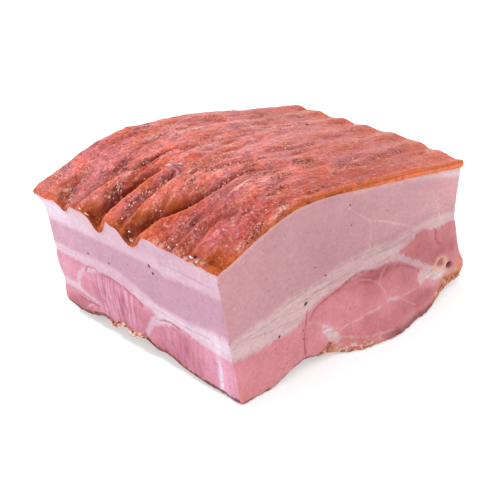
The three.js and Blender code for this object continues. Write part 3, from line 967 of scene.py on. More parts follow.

# Amber, half see-through skin at the corners and in the mouths of the folds, smears of painted shine on the
# ridges, and dark wet pits, most of them by the rim
RIND_AMBER = [
    (2.2, 4, 5, 6, 1.1), (0, 36, 4, 4, 1.0), (0, 57, 3, 5, 0.8), (17, 54.6, 3, 1, 0.6),
    (0, 73, 3, 2.5, 0.6), (2, 79, 6, 3, 0.6), (0, 88, 5, 3, 0.7), (0, 24, 2.5, 2.5, 0.5),
    (0, 46, 2, 3, 0.7), (10, 7.6, 2.5, 1, 0.9),
]
RIND_SHINE = [
    (68.6, 71, 4, 1.4, 1.0), (68.4, 64.4, 4, 1.2, 0.8), (77.2, 60, 4, 1.0, 0.9), (82.5, 58.3, 4, 1.0, 0.9),
    (48.4, 75.6, 3, 1.4, 0.9), (51.4, 70.7, 4, 1.4, 0.9), (36, 73.8, 4, 1.4, 0.9),
    (43.2, 70.9, 4, 1.3, 0.9), (40.4, 53.5, 3, 1.2, 0.8), (45.4, 53.2, 3, 1.2, 0.8),
    (48.8, 49.8, 3, 1.4, 0.7), (10.7, 1.6, 1.6, 1.2, 0.8), (26.5, 0.6, 3, 1.2, 1.0),
    (29.3, 1.8, 2.4, 1.0, 0.9), (30.4, 21.7, 5, 1.5, 0.9), (36.5, 19.4, 4, 1.5, 0.9),
    (0.2, 25.2, 0.9, 2.2, 0.9), (0.4, 14.7, 0.9, 2.6, 0.9), (0.8, 7.5, 0.9, 2.0, 0.7),
    (29.8, 17, 4, 1.2, 0.6), (31, 35.4, 5, 1.0, 0.8), (26, 43.4, 4, 1.2, 0.8), (17.9, 60.9, 3, 0.9, 0.8),
    (5.4, 77.3, 1.8, 0.8, 1.0),
]
RIND_PITS = [
    (1.2, 9.7, 1.4, 2.0, 0.6), (2.2, 5.2, 2.0, 2.0, 0.55), (2.6, 1, 2.4, 0.9, 0.6),
    (1.5, 41, 2.4, 1.8, 1.0), (1, 19.6, 2.0, 1.6, 1.0), (1.2, 10, 1.8, 2.4, 0.8),
    (11.2, 21.8, 2.2, 1.4, 1.0), (10.3, 7.2, 1.8, 1.0, 0.6), (25, 47, 3.5, 1.2, 0.8), (1.5, 58, 2, 3, 0.8),
    (4, 71.5, 3.0, 1.8, 1.0), (10.8, 75.1, 2.5, 1.2, 0.6), (41, 31, 2.4, 1.4, 0.8), (57, 24, 5, 1.6, 0.8),
    (53, 32, 2, 1.4, 0.7), (13.4, 69.7, 1.8, 1.2, 0.8), (19.6, 67.6, 2.0, 1.2, 0.8), (31, 4, 3, 1.2, 0.7),
    (18.5, 13.1, 2.4, 1.4, 0.9), (70, 17, 4, 1.4, 0.6), (64, 37, 2.5, 1.2, 0.5), (90, 21, 2.6, 1.2, 0.5),
    (110, 24, 2, 1.4, 0.6),
]

# The bristle pores stand in dotted bands along listed places (along, back), each with its half width.
# A band fades out between two shares of that.
PORE_BANDS = [
    ([(2, 46.2), (10, 46.7), (18, 46), (24, 44.4), (29, 41.6)], 2.4),
    ([(22, 29.4), (30, 28.6), (40, 26.4)], 1.3), ([(30, 37.4), (38, 35.2), (50, 33.6)], 1.4),
    ([(30, 45), (34, 44), (44, 43)], 1.2), ([(16, 64), (24, 61.6)], 1.6),
    ([(10, 2.6), (16, 1.6), (30, 1.5)], 2.2), ([(4, 58.6), (12, 59.4)], 1.8), ([(2, 75), (11, 75.4)], 2.2),
    ([(56, 25.5), (66, 22)], 2.0), ([(16, 38), (24, 37)], 1.2), ([(40, 18), (55, 19)], 1.4),
    ([(60, 11), (75, 14), (88, 12)], 1.4), ([(30, 24), (46, 22)], 1.2), ([(62, 37), (76, 38)], 1.2),
    ([(50, 62), (66, 65)], 1.2), ([(30, 10), (44, 12)], 1.2), ([(80, 60), (98, 58)], 1.1),
    ([(34, 58), (48, 57)], 1.3), ([(36, 72), (52, 75)], 1.3), ([(96, 20), (108, 22)], 1.1),
]
BAND_EDGE = (0.4, 1.3)

# Pores also sit on the banks, sparsely on those of folds and more densely on those of large and of small
# creases. Patches of the skin are free of them. Between them the skin stands up in pebbles with rounded
# flanks.
BANKS_PORED = (0.3, 0.6, 0.5)
PORE_PATCHES = (-0.4, 0.1)
PEBBLE_SIZE = 1.1
PEBBLE_FLANK = (0.02, 0.45)

# Creases are shallower folds of the same kind, and one dry crack splits the skin between two folds
CREASES = [
    dict(lies=[(0, 13), (7, 15.6), (12.8, 16.1), (16.7, 15.1), (20.8, 13.2), (26, 11.6)],
         mouth=1.4, steep=1.0, gentle=2.4, depth=1.5, reach=34),
    dict(lies=[(0, 20.5), (10, 21.5), (30, 19)], mouth=1.4, steep=1.1, gentle=3.0, depth=1.4, reach=36),
    dict(lies=[(0, 44.5), (8, 45), (16, 45), (24, 44.4), (31, 42)],
         mouth=1.2, steep=1.0, gentle=2.4, depth=1.6, reach=38),
    dict(lies=[(73, 57.2), (79, 58.6), (86, 59.2)], mouth=0.5, steep=0.5, gentle=0.9, depth=1.5, reach=90),
    dict(lies=[(24, 28.8), (34, 27.8), (46, 25)], mouth=0.8, steep=0.8, gentle=1.8, depth=1.3, reach=56),
    dict(lies=[(30, 37), (38, 35), (52, 33)], mouth=0.8, steep=0.8, gentle=1.8, depth=0.8, reach=60),
    dict(lies=[(0, 65.5), (12, 66), (27, 66)], mouth=1.2, steep=0.9, gentle=2.2, depth=1.2, reach=40),
    dict(lies=[(58, 31), (68, 31.5), (78, 32)], mouth=1.0, steep=0.8, gentle=2.0, depth=0.9, reach=84),
    dict(lies=[(20, 82), (40, 80), (60, 84)], mouth=1.0, steep=1.0, gentle=2.4, depth=0.9, reach=66),
]
CRACK = dict(lies=[(18, 61.4), (22, 60.2), (28, 59.2), (38, 57.4)],
             mouth=0.7, steep=0.7, gentle=1.4, depth=3.4, reach=47)

# The listed creases waver off their lines, in wide and in fine bends, and the crack half as far
WIDE_BENDS = 0.7
FINE_BENDS = 0.3
CRACK_BENDS = 0.5

# Besides the listed creases, the skin has many small ones, at random within these ranges. Away from the
# short cut they are shallower. Each dies out towards its ends, and is gentler on its far side.
CREASE_SEED = 7
CREASE_COUNT = 110
CREASE_HALF_LENGTH = (2.5, 12)
CREASE_DEPTH = (0.25, 0.75)
CREASE_WIDTH = (0.6, 1.3)
CREASE_SLANT = (0.12, 0.12)
CREASE_CURVE = 0.004
CREASE_CALM = 0.4
CREASE_CALM_FROM = (45, 80)
CREASE_DIES_FROM = 0.4
CREASE_GENTLE = 2.2
CREASE_BANK_START = -0.2
CREASE_BANK_OFF = 1.2
CREASE_BANK_WIDTH = 1.4


def read_creases(along, back):
    """Depth of the small creases between the folds, drawn out the way the folds run, and their banks."""
    draw = np.random.default_rng(CREASE_SEED)
    depth = np.zeros_like(along)
    bank = np.zeros_like(along)
    for _ in range(CREASE_COUNT):
        at = draw.uniform(4, LENGTH - 2)
        behind = draw.uniform(2, DEPTH - 2)
        half = draw.uniform(*CREASE_HALF_LENGTH)
        deep = draw.uniform(*CREASE_DEPTH) * (1 - CREASE_CALM * fade_in(at, *CREASE_CALM_FROM))
        wide = draw.uniform(*CREASE_WIDTH)
        slant = draw.normal(*CREASE_SLANT)
        off = back - behind - slant * (along - at) - CREASE_CURVE * (along - at) ** 2
        ends = 1 - fade_in(np.abs(along - at), CREASE_DIES_FROM * half, half)
        width = np.where(off < 0, wide, CREASE_GENTLE * wide)
        depth = np.maximum(depth, deep * ends * np.exp(-(off / width) ** 2))
        far = np.exp(-((off - CREASE_BANK_OFF * wide) / (CREASE_BANK_WIDTH * wide)) ** 2)
        bank = np.maximum(bank, ends * (off > CREASE_BANK_START) * far)
    return depth, bank


def pebbled(along, back, size, seed):
    """Rounded pebbles of the given size in millimetres: 1 on their crowns, 0 in the gaps between."""
    points = np.stack([along / size, back / size, np.full_like(along, seed * 7.7)], -1)
    nearest = np.array([noise.voronoi(Vector(p))[0][:2] for p in points.tolist()])
    return fade_in(nearest[:, 1] - nearest[:, 0], *PEBBLE_FLANK)


grid, rind_faces = block_grid(RIND_CELLS, 2, 1)
s, t, h = (grid / np.array(RIND_CELLS)).T
along = s * LENGTH
back = t * DEPTH
flat = 0 * along
folds, lips, fold_bank = read_folds(FOLDS, along, back)
wavering = back + WIDE_BENDS * rough(along, back, flat, (7, 12, 5), 22)
wavering += FINE_BENDS * rough(along, back, flat, (2.5, 6, 5), 23)
large_creases, crease_lips, large_bank = read_folds(CREASES, along, wavering)
small_creases, small_bank = read_creases(along, back)
crack, crack_lips, _ = read_folds([CRACK], along, mix(back, wavering, CRACK_BENDS))
creases = large_creases + small_creases + crack
bands = np.maximum.reduce([
    1 - fade_in(distance_to(along, back, points), BAND_EDGE[0] * half, BAND_EDGE[1] * half)
    for points, half in PORE_BANDS])
banks = [share * bank for share, bank in zip(BANKS_PORED, (fold_bank, large_bank, small_bank))]
pored = np.clip(np.maximum.reduce([*banks, bands]), 0, 1)
pored *= fade_in(rough(along, back, flat, (7, 4, 5), 11), *PORE_PATCHES)
pebbles = pebbled(along, back, PEBBLE_SIZE, 12)
wide_ridges = rough(along, back, flat, (26, 6, 9), 13)
lumps = rough(along, back, flat, (6, 3.2, 5), 14)
strands = rough(along, back, flat, (3.0, 1.1, 2), 16)
crinkles = rough(along, back, flat, (1.3, 1.0, 2), 17)
cross_wrinkles = rough(along, back, flat, (1.0, 2.6, 2), 24) * (1 - fade_in(along, *CROSS_DIES))
smooth_top = crown(along, back)
under = smooth_top - rind_thickness(along, back)
calm = 1 - CALM_SHARE * fade_in(along, *CALM_FROM)
low = 1 - LOW_SHARE * over_stretch(along, *LOW_STRETCH) * (1 - fade_in(back, *LOW_BACK))
top = smooth_top + RIDGE_HEIGHT * low * wide_ridges
top = top + calm * (LUMP_HEIGHT * lumps + STRAND_HEIGHT * strands + CRINKLE_HEIGHT * crinkles)
top += (CREASE_LIP * np.clip(crease_lips, 0, 2) + PEBBLE_HEIGHT * pored * (pebbles - PEBBLE_LEVEL)
        - creases - RIND_INSET)
top += CROSS_HEIGHT * cross_wrinkles + CRACK_LIP * crack_lips
top = np.maximum(top, under + THINNEST)
up = h * (top - under)

# The fields that colour the skin. The folds are red within, partly painted shade, and darkest on their floors
# and in the crack, which is painted shade, and their far banks are orange for some way in, least far in the
# folds behind.
fold_red_and_shade = np.clip((folds - mix(*RED_DEPTH, fade_in(along, 0, RED_REACH))) / RED_GROWS, 0, 1)
on_floor_shade = np.clip((folds - mix(*FLOOR_DEPTH, fade_in(back, *FOLDS_BEHIND[0]))) / FLOOR_GROWS, 0, 1)
crack_shade = np.clip((crack - CRACK_FLOOR_DEPTH) / CRACK_FLOOR_GROWS, 0, 1)
bank_reach = 1 - BANK_SHORTER * fade_in(back, *FOLDS_BEHIND[1])
bank_share = 1 - BANK_WEAKER * fade_in(back, *FOLDS_BEHIND[2])
rind_fields = dict(
    fold=fold_red_and_shade * mix(MOUTH_RED, 1, fade_in(along, 0, MOUTH_RED_REACH)),
    floor=on_floor_shade * fade_in(along, *FLOOR_COMES) + crack_shade,
    lip=np.clip(lips / FULL_LIP[0] + crease_lips / FULL_LIP[1], 0, 1),
    crease=np.clip(CREASE_RED_SHARES[0] * large_creases + CREASE_RED_SHARES[1] * small_creases, 0, 1),
    tan=spots(along, back, RIND_TAN_AND_LIGHT),
    mauve=spots(along, back, RIND_MAUVE),
    bank=fold_bank * (1 - fade_in(along / bank_reach, *BANK_FADES)) * bank_share,
    amber=spots(along, back, RIND_AMBER),
    pit=spots(along, back, RIND_PITS),
    shine=spots(along, back, RIND_SHINE),
    gaps=pored * (1 - pebbles),
    crowns=pored * pebbles ** 2,
    left_mm=along,
    front_mm=back,
    right_mm=LENGTH - along,
    depth_mm=top - under - up,
)

# Where beads of fat and crumbs of smoke are strewn later: on the outside only, clear of the rim, and mostly
# where it is pored. The beads come in clusters and thin out away from the short cut.
RIM_SHARE = 0.01
CLUSTERS = (-0.6, -0.1)
BEADS_PORED = 1.3
BEADS_LEAST = 0.25
BEADS_THIN = 0.5
BEADS_THIN_FROM = (50, 90)
CRUMBS_BARE = 0.15
CRUMBS_PORED = 0.85
on_top = (h == 1) & (np.minimum(s, t) > RIM_SHARE) & (np.maximum(s, t) < 1 - RIM_SHARE)
clustered = fade_in(rough(along, back, flat, (2.6, 1.8, 2), 19), *CLUSTERS)
thinner = 1 - BEADS_THIN * fade_in(along, *BEADS_THIN_FROM)
strewn_fields = dict(
    beaded=on_top * clustered * np.clip(BEADS_PORED * pored - BEADS_LEAST, 0, 1) * thinner,
    crumbed=on_top * (CRUMBS_BARE + CRUMBS_PORED * pored),
)

# The cut edges of the skin waver, and are rounded above and undercut below
RIM_BENDS = 0.3
RIM_NOTCHES = 0.15
wavy_edge = RIM_BENDS * rough(along, back, flat, (3.2, 3.2, 3), 15)
wavy_edge += RIM_NOTCHES * rough(along, back, up, (1.3, 1.3, 1.3), 18)
thickness = top - under
rounding = [np.minimum(radius, ROUND_SHARE * thickness) for radius in RIND_ROUND]
along, back = round_uprights(along, back, RIND_UPRIGHT_ROUND)
along, back, down = round_rim(along, back, thickness - up, rounding)
along, back, above = round_rim(along, back, thickness - down, RIND_UNDERCUT)
rind_points = in_place(along, back, under + above, smooth_top, [one + wavy_edge for one in RIND_PROUD])
rind = make_piece("smoked_rind", rind_points, rind_faces, {**rind_fields, **strewn_fields})
skin_places = (s[h == 1] * LENGTH, t[h == 1] * DEPTH, rind_points[h == 1])


def skin_point(at, behind):
    """The point of the rind's outside nearest to a place along and back."""
    places_along, places_back, points = skin_places
    return points[np.argmin(np.hypot(places_along - at, places_back - behind))]


# Smoked pork skin: red-brown where the smoke coloured it, mauve where it is thick, amber and see-through
# at its cut edge, and nearly black-red down in the folds, where shade is painted. Rendered fat leaves an oily
# gloss over all of it.
SKIN_RED = "#cc6150"
SKIN_ROSE = "#d4726a"
SKIN_MAUVE = "#bc6672"
SKIN_ORANGE = "#da6338"
SKIN_AMBER = "#b8560e"
AMBER_DEEP = "#8c3404"
FOLD_RED_AND_SHADE = "#6c1404"
FLOOR_SHADE = "#6a1006"
GAP_SHADE = "#521a16"
GLINT_SPECK = "#f0a594"
DARK_SPECK = "#6e2220"
LIP_ORANGE_HIGHLIGHT = "#da6c44"
EDGE_HIGHLIGHT = "#e08a40"
EDGE_ORANGE = "#ea7244"
EDGE_LINE = "#84261a"
TANNED_AND_SHADED = "#a8381f"
UNTANNED_AND_LIT = "#ec8a80"
SHEEN = "#f2b6aa"
EDGE_GOLD = "#d87636"
CREASE_RED_AND_SHADE = "#86281a"
BANK_ORANGE = "#b2581e"
CROWN_PALE_AND_HIGHLIGHT = "#e6a890"
EDGE_GROOVE = "#b03c20"
WET_GREY_REFLECTION = "#96627a"
WET_DARK = "#3c1418"
EDGE_BROWN = "#a8541e"

smoked_skin, tree, in_mm, field = new_material("smoked_pork_skin", rind_fields)
mottle = clouds(tree, in_mm, (12, 5, 7), 5.0, 0.62)
skin = add_node(tree, "ShaderNodeValToRGB",
                {"stops": [(0.36, SKIN_MAUVE), (0.46, SKIN_ROSE), (0.55, SKIN_RED), (0.68, SKIN_ORANGE)]},
                {"Fac": mottle})
# Tanned red-brown and untanned pink, partly painted shade and painted highlights
colour = paint_over(tree, skin, TANNED_AND_SHADED, grade(tree, field["tan"], 0, 1, 0.0, 0.85))
colour = paint_over(tree, colour, UNTANNED_AND_LIT, grade(tree, field["tan"], 0, -1, 0.0, 0.6))
colour = paint_over(tree, colour, SKIN_MAUVE, field["mauve"], 0.8)
colour = vary(tree, colour, grade(tree, clouds(tree, in_mm, (3.6, 1.5, 1.8), 2.0, 0.6), 0.3, 0.7, 0.8, 1.2))

# The skin is coarser towards the short cut: pale specks half a millimetre across, which are painted glints,
# dark specks, and grey patches where it is wet, which are painted reflection
near_short = grade(tree, field["left_mm"], 35, 80, 1.0, 0.3)
coarse_light = grade(tree, clouds(tree, in_mm, (2.2, 1.8, 1.8), 3.0, 0.65), 0.32, 0.68, 0.78, 1.42)
colour = vary(tree, colour, coarse_light, near_short)
speckle = clouds(tree, in_mm, 0.75, 2.0, 0.6)
across_ridges = clouds(tree, in_mm, (0.8, 1.8, 1.2), 2.0, 0.6)
dry_patches = clouds(tree, in_mm, 4.0, 3.0)
glint_clusters = add_node(tree, "ShaderNodeMath", {"operation": "MULTIPLY"},
                       {0: grade(tree, across_ridges, 0.54, 0.67, 0.0, 0.8),
                        1: grade(tree, dry_patches, 0.56, 0.44, 0.15, 1.0)})
for tint, mask in ((GLINT_SPECK, glint_clusters),
                   (WET_GREY_REFLECTION, grade(tree, clouds(tree, in_mm, (3.2, 2.4, 2.4), 2.0), 0.6, 0.7, 0.0, 0.6)),
                   (DARK_SPECK, grade(tree, speckle, 0.44, 0.32, 0.0, 0.75))):
    colour = paint_over(tree, colour, tint, mask, within=near_short)
# Painted sheen: pale smears of highlight laid at random over the whole skin
glossy = clouds(tree, in_mm, (4.4, 1.6, 1.8), 3.0, 0.6)
colour = paint_over(tree, colour, SHEEN, grade(tree, glossy, 0.57, 0.72, 0.0, 0.45))

# The smoke bites deepest near the cuts, where the skin is drier. The raised lips of the folds are painted
# orange, partly the skin's own and partly a painted highlight on their crests.
for side, reach, strength in (("left_mm", 4.0, 0.6), ("right_mm", 24.0, 0.75), ("front_mm", 2.5, 0.5)):
    near_cut = grade(tree, field[side], 0, reach, strength, 0.0, smooth=True)
    colour = paint_over(tree, colour, SKIN_ORANGE, near_cut, within=grade(tree, dry_patches, 0.35, 0.6))
long_rim = grade(tree, field["front_mm"], 0.4, 3.0, 0.8, 0.0, smooth=True)
colour = paint_over(tree, colour, EDGE_GOLD, long_rim,
                    within=grade(tree, clouds(tree, in_mm, (3.0, 1.6, 2.0), 3.0), 0.42, 0.6))
colour = paint_over(tree, colour, LIP_ORANGE_HIGHLIGHT, field["lip"],
                    within=grade(tree, dry_patches, 0.35, 0.55, 0.2, 0.75))
colour = paint_over(tree, colour, BANK_ORANGE, field["bank"],
                    within=grade(tree, dry_patches, 0.4, 0.6, 0.4, 0.85))
# The creases redden with their depth: partly the skin's own red and partly painted shade
colour = paint_over(tree, colour, CREASE_RED_AND_SHADE, field["crease"], 0.85)
# Painted shade: the folds redden with depth, and their floors and the crack go nearly black
colour = paint_over(tree, colour, FOLD_RED_AND_SHADE, field["fold"], 0.95)
colour = paint_over(tree, colour, FLOOR_SHADE, field["floor"], 0.9)
# Painted shade in the gaps between the pebbles, and pale crowns, partly set fat and partly painted highlight
colour = paint_over(tree, colour, GAP_SHADE, field["gaps"], 0.85)
colour = paint_over(tree, colour, CROWN_PALE_AND_HIGHLIGHT, field["crowns"], 0.75,
                    within=grade(tree, clouds(tree, in_mm, 1.3, 2.0), 0.42, 0.6))
colour = paint_over(tree, colour, SKIN_AMBER, field["amber"],
                    within=grade(tree, clouds(tree, in_mm, 1.6, 4.0), 0.36, 0.56, 0.35, 0.95))
colour = paint_over(tree, colour, AMBER_DEEP, field["amber"],
                    within=grade(tree, clouds(tree, in_mm, 2.4, 4.0), 0.44, 0.56, 0.0, 0.85))
colour = paint_over(tree, colour, WET_DARK, field["pit"], 0.9,
                    within=grade(tree, clouds(tree, in_mm, 1.1, 3.0, 0.7), 0.42, 0.54))

# Painted highlights: where the oily skin faces the lamp it shines, in short smears drawn out along the ridges
colour = paint_over(tree, colour, SHEEN, field["shine"], 0.85,
                    within=grade(tree, clouds(tree, in_mm, (3.0, 1.3, 2.0), 3.0), 0.42, 0.58))

# The cut edge shows the skin's thickness: a painted highlight along its rounded top, orange skin, and a dark
# line where fat begins
cut_edge = add_node(tree, "ShaderNodeValToRGB", {"stops": [(0.05, EDGE_HIGHLIGHT), (0.2, EDGE_GROOVE),
                    (0.42, EDGE_ORANGE), (0.75, EDGE_ORANGE), (0.95, EDGE_LINE)]},
                    {"Fac": grade(tree, field["depth_mm"], 0.2, 3.1)})
browned = add_node(tree, "ShaderNodeMath", {"operation": "ADD"},
                   {0: grade(tree, field["left_mm"], 40, 80, 0.9, 0.25),
                    1: grade(tree, clouds(tree, in_mm, 5.0, 3.0), 0.3, 0.7, -0.5, 0.5)})
cut_edge = paint_over(tree, cut_edge, EDGE_BROWN, grade(tree, browned, 0.1, 0.9))
colour = paint_over(tree, colour, cut_edge, grade(tree, field["depth_mm"], 0.0, 0.5, 0.0, 0.9, smooth=True),
                    within=grade(tree, field["left_mm"], 2, 36, 0.12, 1.0, smooth=True))
singed = grade(tree, clouds(tree, in_mm, 4.0, 2.0), 0.53, 0.6)
notches = add_node(tree, "ShaderNodeMath", {"operation": "MULTIPLY"},
                   {0: singed, 1: grade(tree, field["left_mm"], 74, 88, 1.0, 0.0)})
colour = paint_over(tree, colour, EDGE_LINE, notches, 0.9,
                    within=grade(tree, field["depth_mm"], 0.8, 1.5))

pores = add_node(tree, "ShaderNodeTexVoronoi", {"feature": "F1", "Scale": 1 / 0.9}, {"Vector": in_mm})
pore_bump = add_node(tree, "ShaderNodeBump", {"Strength": 0.25, "Distance": 0.0002}, {"Height": pores})
skin_bump = add_node(tree, "ShaderNodeBump", {"Strength": 0.5, "Distance": 0.0004},
                     {"Height": speckle, "Normal": pore_bump})
end_in(tree, {"IOR": 1.45, "Specular IOR Level": 0.22, "Specular Tint": (1.0, 0.45, 0.35, 1),
              "Subsurface Weight": 0.08, "Subsurface Radius": (1.0, 0.3, 0.15), "Subsurface Scale": 0.001,
              "Coat Weight": 0.02, "Coat Roughness": 0.1},
       {"Base Color": colour, "Roughness": grade(tree, speckle, 0.35, 0.65, 0.48, 0.22), "Normal": skin_bump})
rind.data.materials.append(smoked_skin)
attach(rind, "root")
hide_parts("bacon_slab")

# The drops of melted fat
# Fat that melted in the smokehouse ran along the folds and set in their mouths and on their lips, in wet
# drops and smears one to three millimetres long. Each drop: along, back, half sizes, how it lies.
DROPS = [
    (1.2, 39.6, 1.4, 0.45, 0.2, "rim"), (2.6, 41.4, 0.8, 0.3, 0.15, "rim"),
    (0.8, 20.6, 0.8, 0.4, 0.25, "rim"), (2.4, 18.8, 0.5, 0.3, 0.2, "rim"),
    (0.7, 11.2, 1.1, 0.35, 0.2, "rim"), (0.6, 8.8, 0.6, 0.3, 0.2, "rim"),
    (0.3, 59.6, 1.3, 0.25, 0.12, "rim"), (0.4, 62.4, 0.7, 0.2, 0.12, "rim"),
    (1.6, 69.4, 1.8, 0.6, 0.3, "fold"), (3.8, 70.6, 0.8, 0.4, 0.2, "fold"),
    (25.2, 49.7, 2.0, 0.6, 0.55, "glint"), (27.6, 48.2, 1.8, 0.55, 0.5, "glint"),
    (20.4, 48.6, 0.9, 0.3, 0.12, "fold"), (38.0, 35.6, 1.4, 0.4, 0.1, "fold"),
    (11.6, 22.4, 0.5, 0.2, 0.15, "fold"), (8.6, 7.4, 0.35, 0.15, 0.1, "fold"),
    (78.6, 58.4, 1.5, 0.25, 0.08, "fold"), (81.4, 59.4, 0.9, 0.2, 0.08, "fold"),
    (12.8, 1.4, 0.5, 0.25, 0.15, "fold"), (13.9, 0.9, 0.35, 0.2, 0.15, "fold"),
]
LIES = {"rim": ((0.0, 1.0, 0.15), (-0.7, -0.2, 0.7)), "fold": ((1.0, 0.12, 0.0), (0.0, -0.35, 1.0)),
        "glint": ((0.84, -0.54, 0.0), (0.0, -0.35, 1.0))}
DROP_SEED = 71
run_down = [(skin_point(at, behind), *LIES[lie], half_sizes) for at, behind, *half_sizes, lie in DROPS]
drops = make_lumps("fat_drops", run_down, DROP_SEED)

# Rendered fat, set but still wet and glossy: pale in some patches and the colour of the skin in others, at
# random. The pale is partly the fat's own and partly a painted glint.
DROP_THIN = "#8c4a4a"
DROP_PALE_AND_GLINT = "#e4bcbc"
melted_fat, tree, in_mm, _ = new_material("melted_fat")
drop_tint = add_node(tree, "ShaderNodeValToRGB", {"stops": [(0.4, DROP_THIN), (0.58, DROP_PALE_AND_GLINT)]},
                     {"Fac": clouds(tree, in_mm, 1.1, 2.0)})
end_in(tree, {"Roughness": 0.12, "Subsurface Weight": 0.3, "Subsurface Radius": (1.0, 0.7, 0.6),
              "Subsurface Scale": 0.0008, "Coat Weight": 0.3, "Coat Roughness": 0.05},
       {"Base Color": drop_tint})
drops.data.materials.append(melted_fat)
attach(drops, "root")

# The beads of fat in the pores
# Heat drives fat out through the bristle pores, and it sets there as pale pinhead beads. They crowd the
# banks of the folds and the dotted bands, a millimetre apart, each sunk to half its height in the skin.


def scatter_tree():
    """Geometry Nodes that strew small uneven lumps over a surface where its named field says so.

    There are at most two of them to a square millimetre. A lump is half as long again as it is wide, and
    between 0.4 and 1.35 of the given size.
    """
    tree = bpy.data.node_groups.new("strewn_lumps", "GeometryNodeTree")
    sockets = (("Surface", "NodeSocketGeometry"), ("Spacing", "NodeSocketFloat"),
               ("Radius", "NodeSocketFloat"), ("Height", "NodeSocketFloat"),
               ("Unevenness", "NodeSocketFloat"), ("Seed", "NodeSocketInt"),
               ("Where", "NodeSocketString"), ("Finish", "NodeSocketMaterial"))
    for name, kind in sockets:
        tree.interface.new_socket(name, in_out="INPUT", socket_type=kind)
    tree.interface.new_socket("Lumps", in_out="OUTPUT", socket_type="NodeSocketGeometry")
    given = add_node(tree, "NodeGroupInput").outputs
    crowd = add_node(tree, "GeometryNodeInputNamedAttribute", {"data_type": "FLOAT"},
                     {"Name": given["Where"]})
    places = add_node(tree, "GeometryNodeDistributePointsOnFaces", {"distribute_method": "POISSON",
                      "Density Max": 2e6}, {"Mesh": given["Surface"], "Distance Min": given["Spacing"],
                      "Density Factor": crowd, "Seed": given["Seed"]})
    lump = add_node(tree, "GeometryNodeMeshIcoSphere", {"Subdivisions": 1}, {"Radius": given["Radius"]})
    flat = add_node(tree, "ShaderNodeCombineXYZ", {"X": 0.9, "Y": 1.35}, {"Z": given["Height"]})
    sizes = add_node(tree, "FunctionNodeRandomValue", {"data_type": "FLOAT", "Min": 0.4, "Max": 1.35},
                     {"Seed": given["Seed"]})
    scale = add_node(tree, "ShaderNodeVectorMath", {"operation": "SCALE"}, {"Vector": flat, "Scale": sizes})
    laid = add_node(tree, "GeometryNodeInstanceOnPoints", {},
                    {"Points": places.outputs["Points"], "Instance": lump,
                     "Rotation": places.outputs["Rotation"], "Scale": scale})
    real = add_node(tree, "GeometryNodeRealizeInstances", {}, {"Geometry": laid})
    grain = add_node(tree, "ShaderNodeTexNoise", {"Scale": 2200.0, "Detail": 1.0})
    centred = add_node(tree, "ShaderNodeVectorMath", {"operation": "SUBTRACT", 1: (0.5, 0.5, 0.5)},
                       {0: grain.outputs["Color"]})
    push = add_node(tree, "ShaderNodeVectorMath", {"operation": "SCALE"},
                    {"Vector": centred, "Scale": given["Unevenness"]})
    uneven = add_node(tree, "GeometryNodeSetPosition", {}, {"Geometry": real, "Offset": push})
    smooth = add_node(tree, "GeometryNodeSetShadeSmooth", {}, {"Geometry": uneven})
    done = add_node(tree, "GeometryNodeSetMaterial", {}, {"Geometry": smooth, "Material": given["Finish"]})
    add_node(tree, "NodeGroupOutput", {}, {"Lumps": done})
    return tree


def strew(name, surface, settings):
    """Strews lumps over a finished piece and returns them as a plain mesh, without the piece's fields."""
    lumps = bpy.data.objects.new(name, surface.data.copy())
    bpy.context.scene.collection.objects.link(lumps)
    modifier = lumps.modifiers.new("strewn", "NODES")
    modifier.node_group = strewn_lumps
    for item in strewn_lumps.interface.items_tree:
        if item.in_out == "INPUT" and item.name in settings:
            modifier[item.identifier] = settings[item.name]
    shaped = lumps.evaluated_get(bpy.context.evaluated_depsgraph_get())
    mesh = bpy.data.meshes.new_from_object(shaped)
    lumps.modifiers.clear()
    lumps.data = mesh
    mesh.name = name
    for field in [one.name for one in surface.data.attributes if one.data_type == "FLOAT"]:
        if field in mesh.attributes:
            mesh.attributes.remove(mesh.attributes[field])
    return lumps


strewn_lumps = scatter_tree()

# Set fat with a little of the skin's juice in it: pale pink to red-brown, with a soft gloss
BEAD_RED = "#9c4434"
BEAD_ROSE = "#cf7c66"
BEAD_PALE = "#f0b8a4"
set_fat, tree, in_mm, _ = new_material("set_fat_beads")
bead_tint = add_node(tree, "ShaderNodeValToRGB",
                     {"stops": [(0.36, BEAD_RED), (0.5, BEAD_ROSE), (0.66, BEAD_PALE)]},
                     {"Fac": clouds(tree, in_mm, 1.6, 2.0)})
end_in(tree, {"Roughness": 0.3, "Subsurface Weight": 0.2, "Subsurface Radius": (1.0, 0.5, 0.4),
              "Subsurface Scale": 0.0006, "Coat Weight": 0.3, "Coat Roughness": 0.1},
       {"Base Color": bead_tint})
beads = strew("fat_beads", rind, {"Spacing": 0.00072, "Radius": 0.00038, "Height": 0.5, "Unevenness": 0.00065,
                                  "Seed": 5, "Where": "beaded", "Finish": set_fat})
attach(beads, "root")

# The crumbs of smoke
# Soot, pepper and burnt bark crumble off in the smokehouse. Dark crumbs under half a millimetre lie on the
# rind, and the knife drags a few across the cuts.

# Char: nearly black to dark brown, dry and matt
CHAR_BLACK = "#2a100d"
CHAR_BROWN = "#5e2a20"
char, tree, in_mm, _ = new_material("charred_crumbs")
char_tint = add_node(tree, "ShaderNodeValToRGB", {"stops": [(0.4, CHAR_BLACK), (0.6, CHAR_BROWN)]},
                     {"Fac": clouds(tree, in_mm, 0.6, 2.0)})
end_in(tree, {"Roughness": 0.6}, {"Base Color": char_tint})

# The crumbs on each piece, with the least space between neighbours
for name, surface, spacing, where, seed in (("rind_crumbs", rind, 0.0025, "crumbed", 11),
                                            ("cut_crumbs", meat, 0.02, "on_side", 23)):
    crumbs = strew(name, surface, {"Spacing": spacing, "Radius": 0.00018, "Height": 0.6,
                                   "Unevenness": 0.00035, "Seed": seed, "Where": where, "Finish": char})
    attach(crumbs, "root")

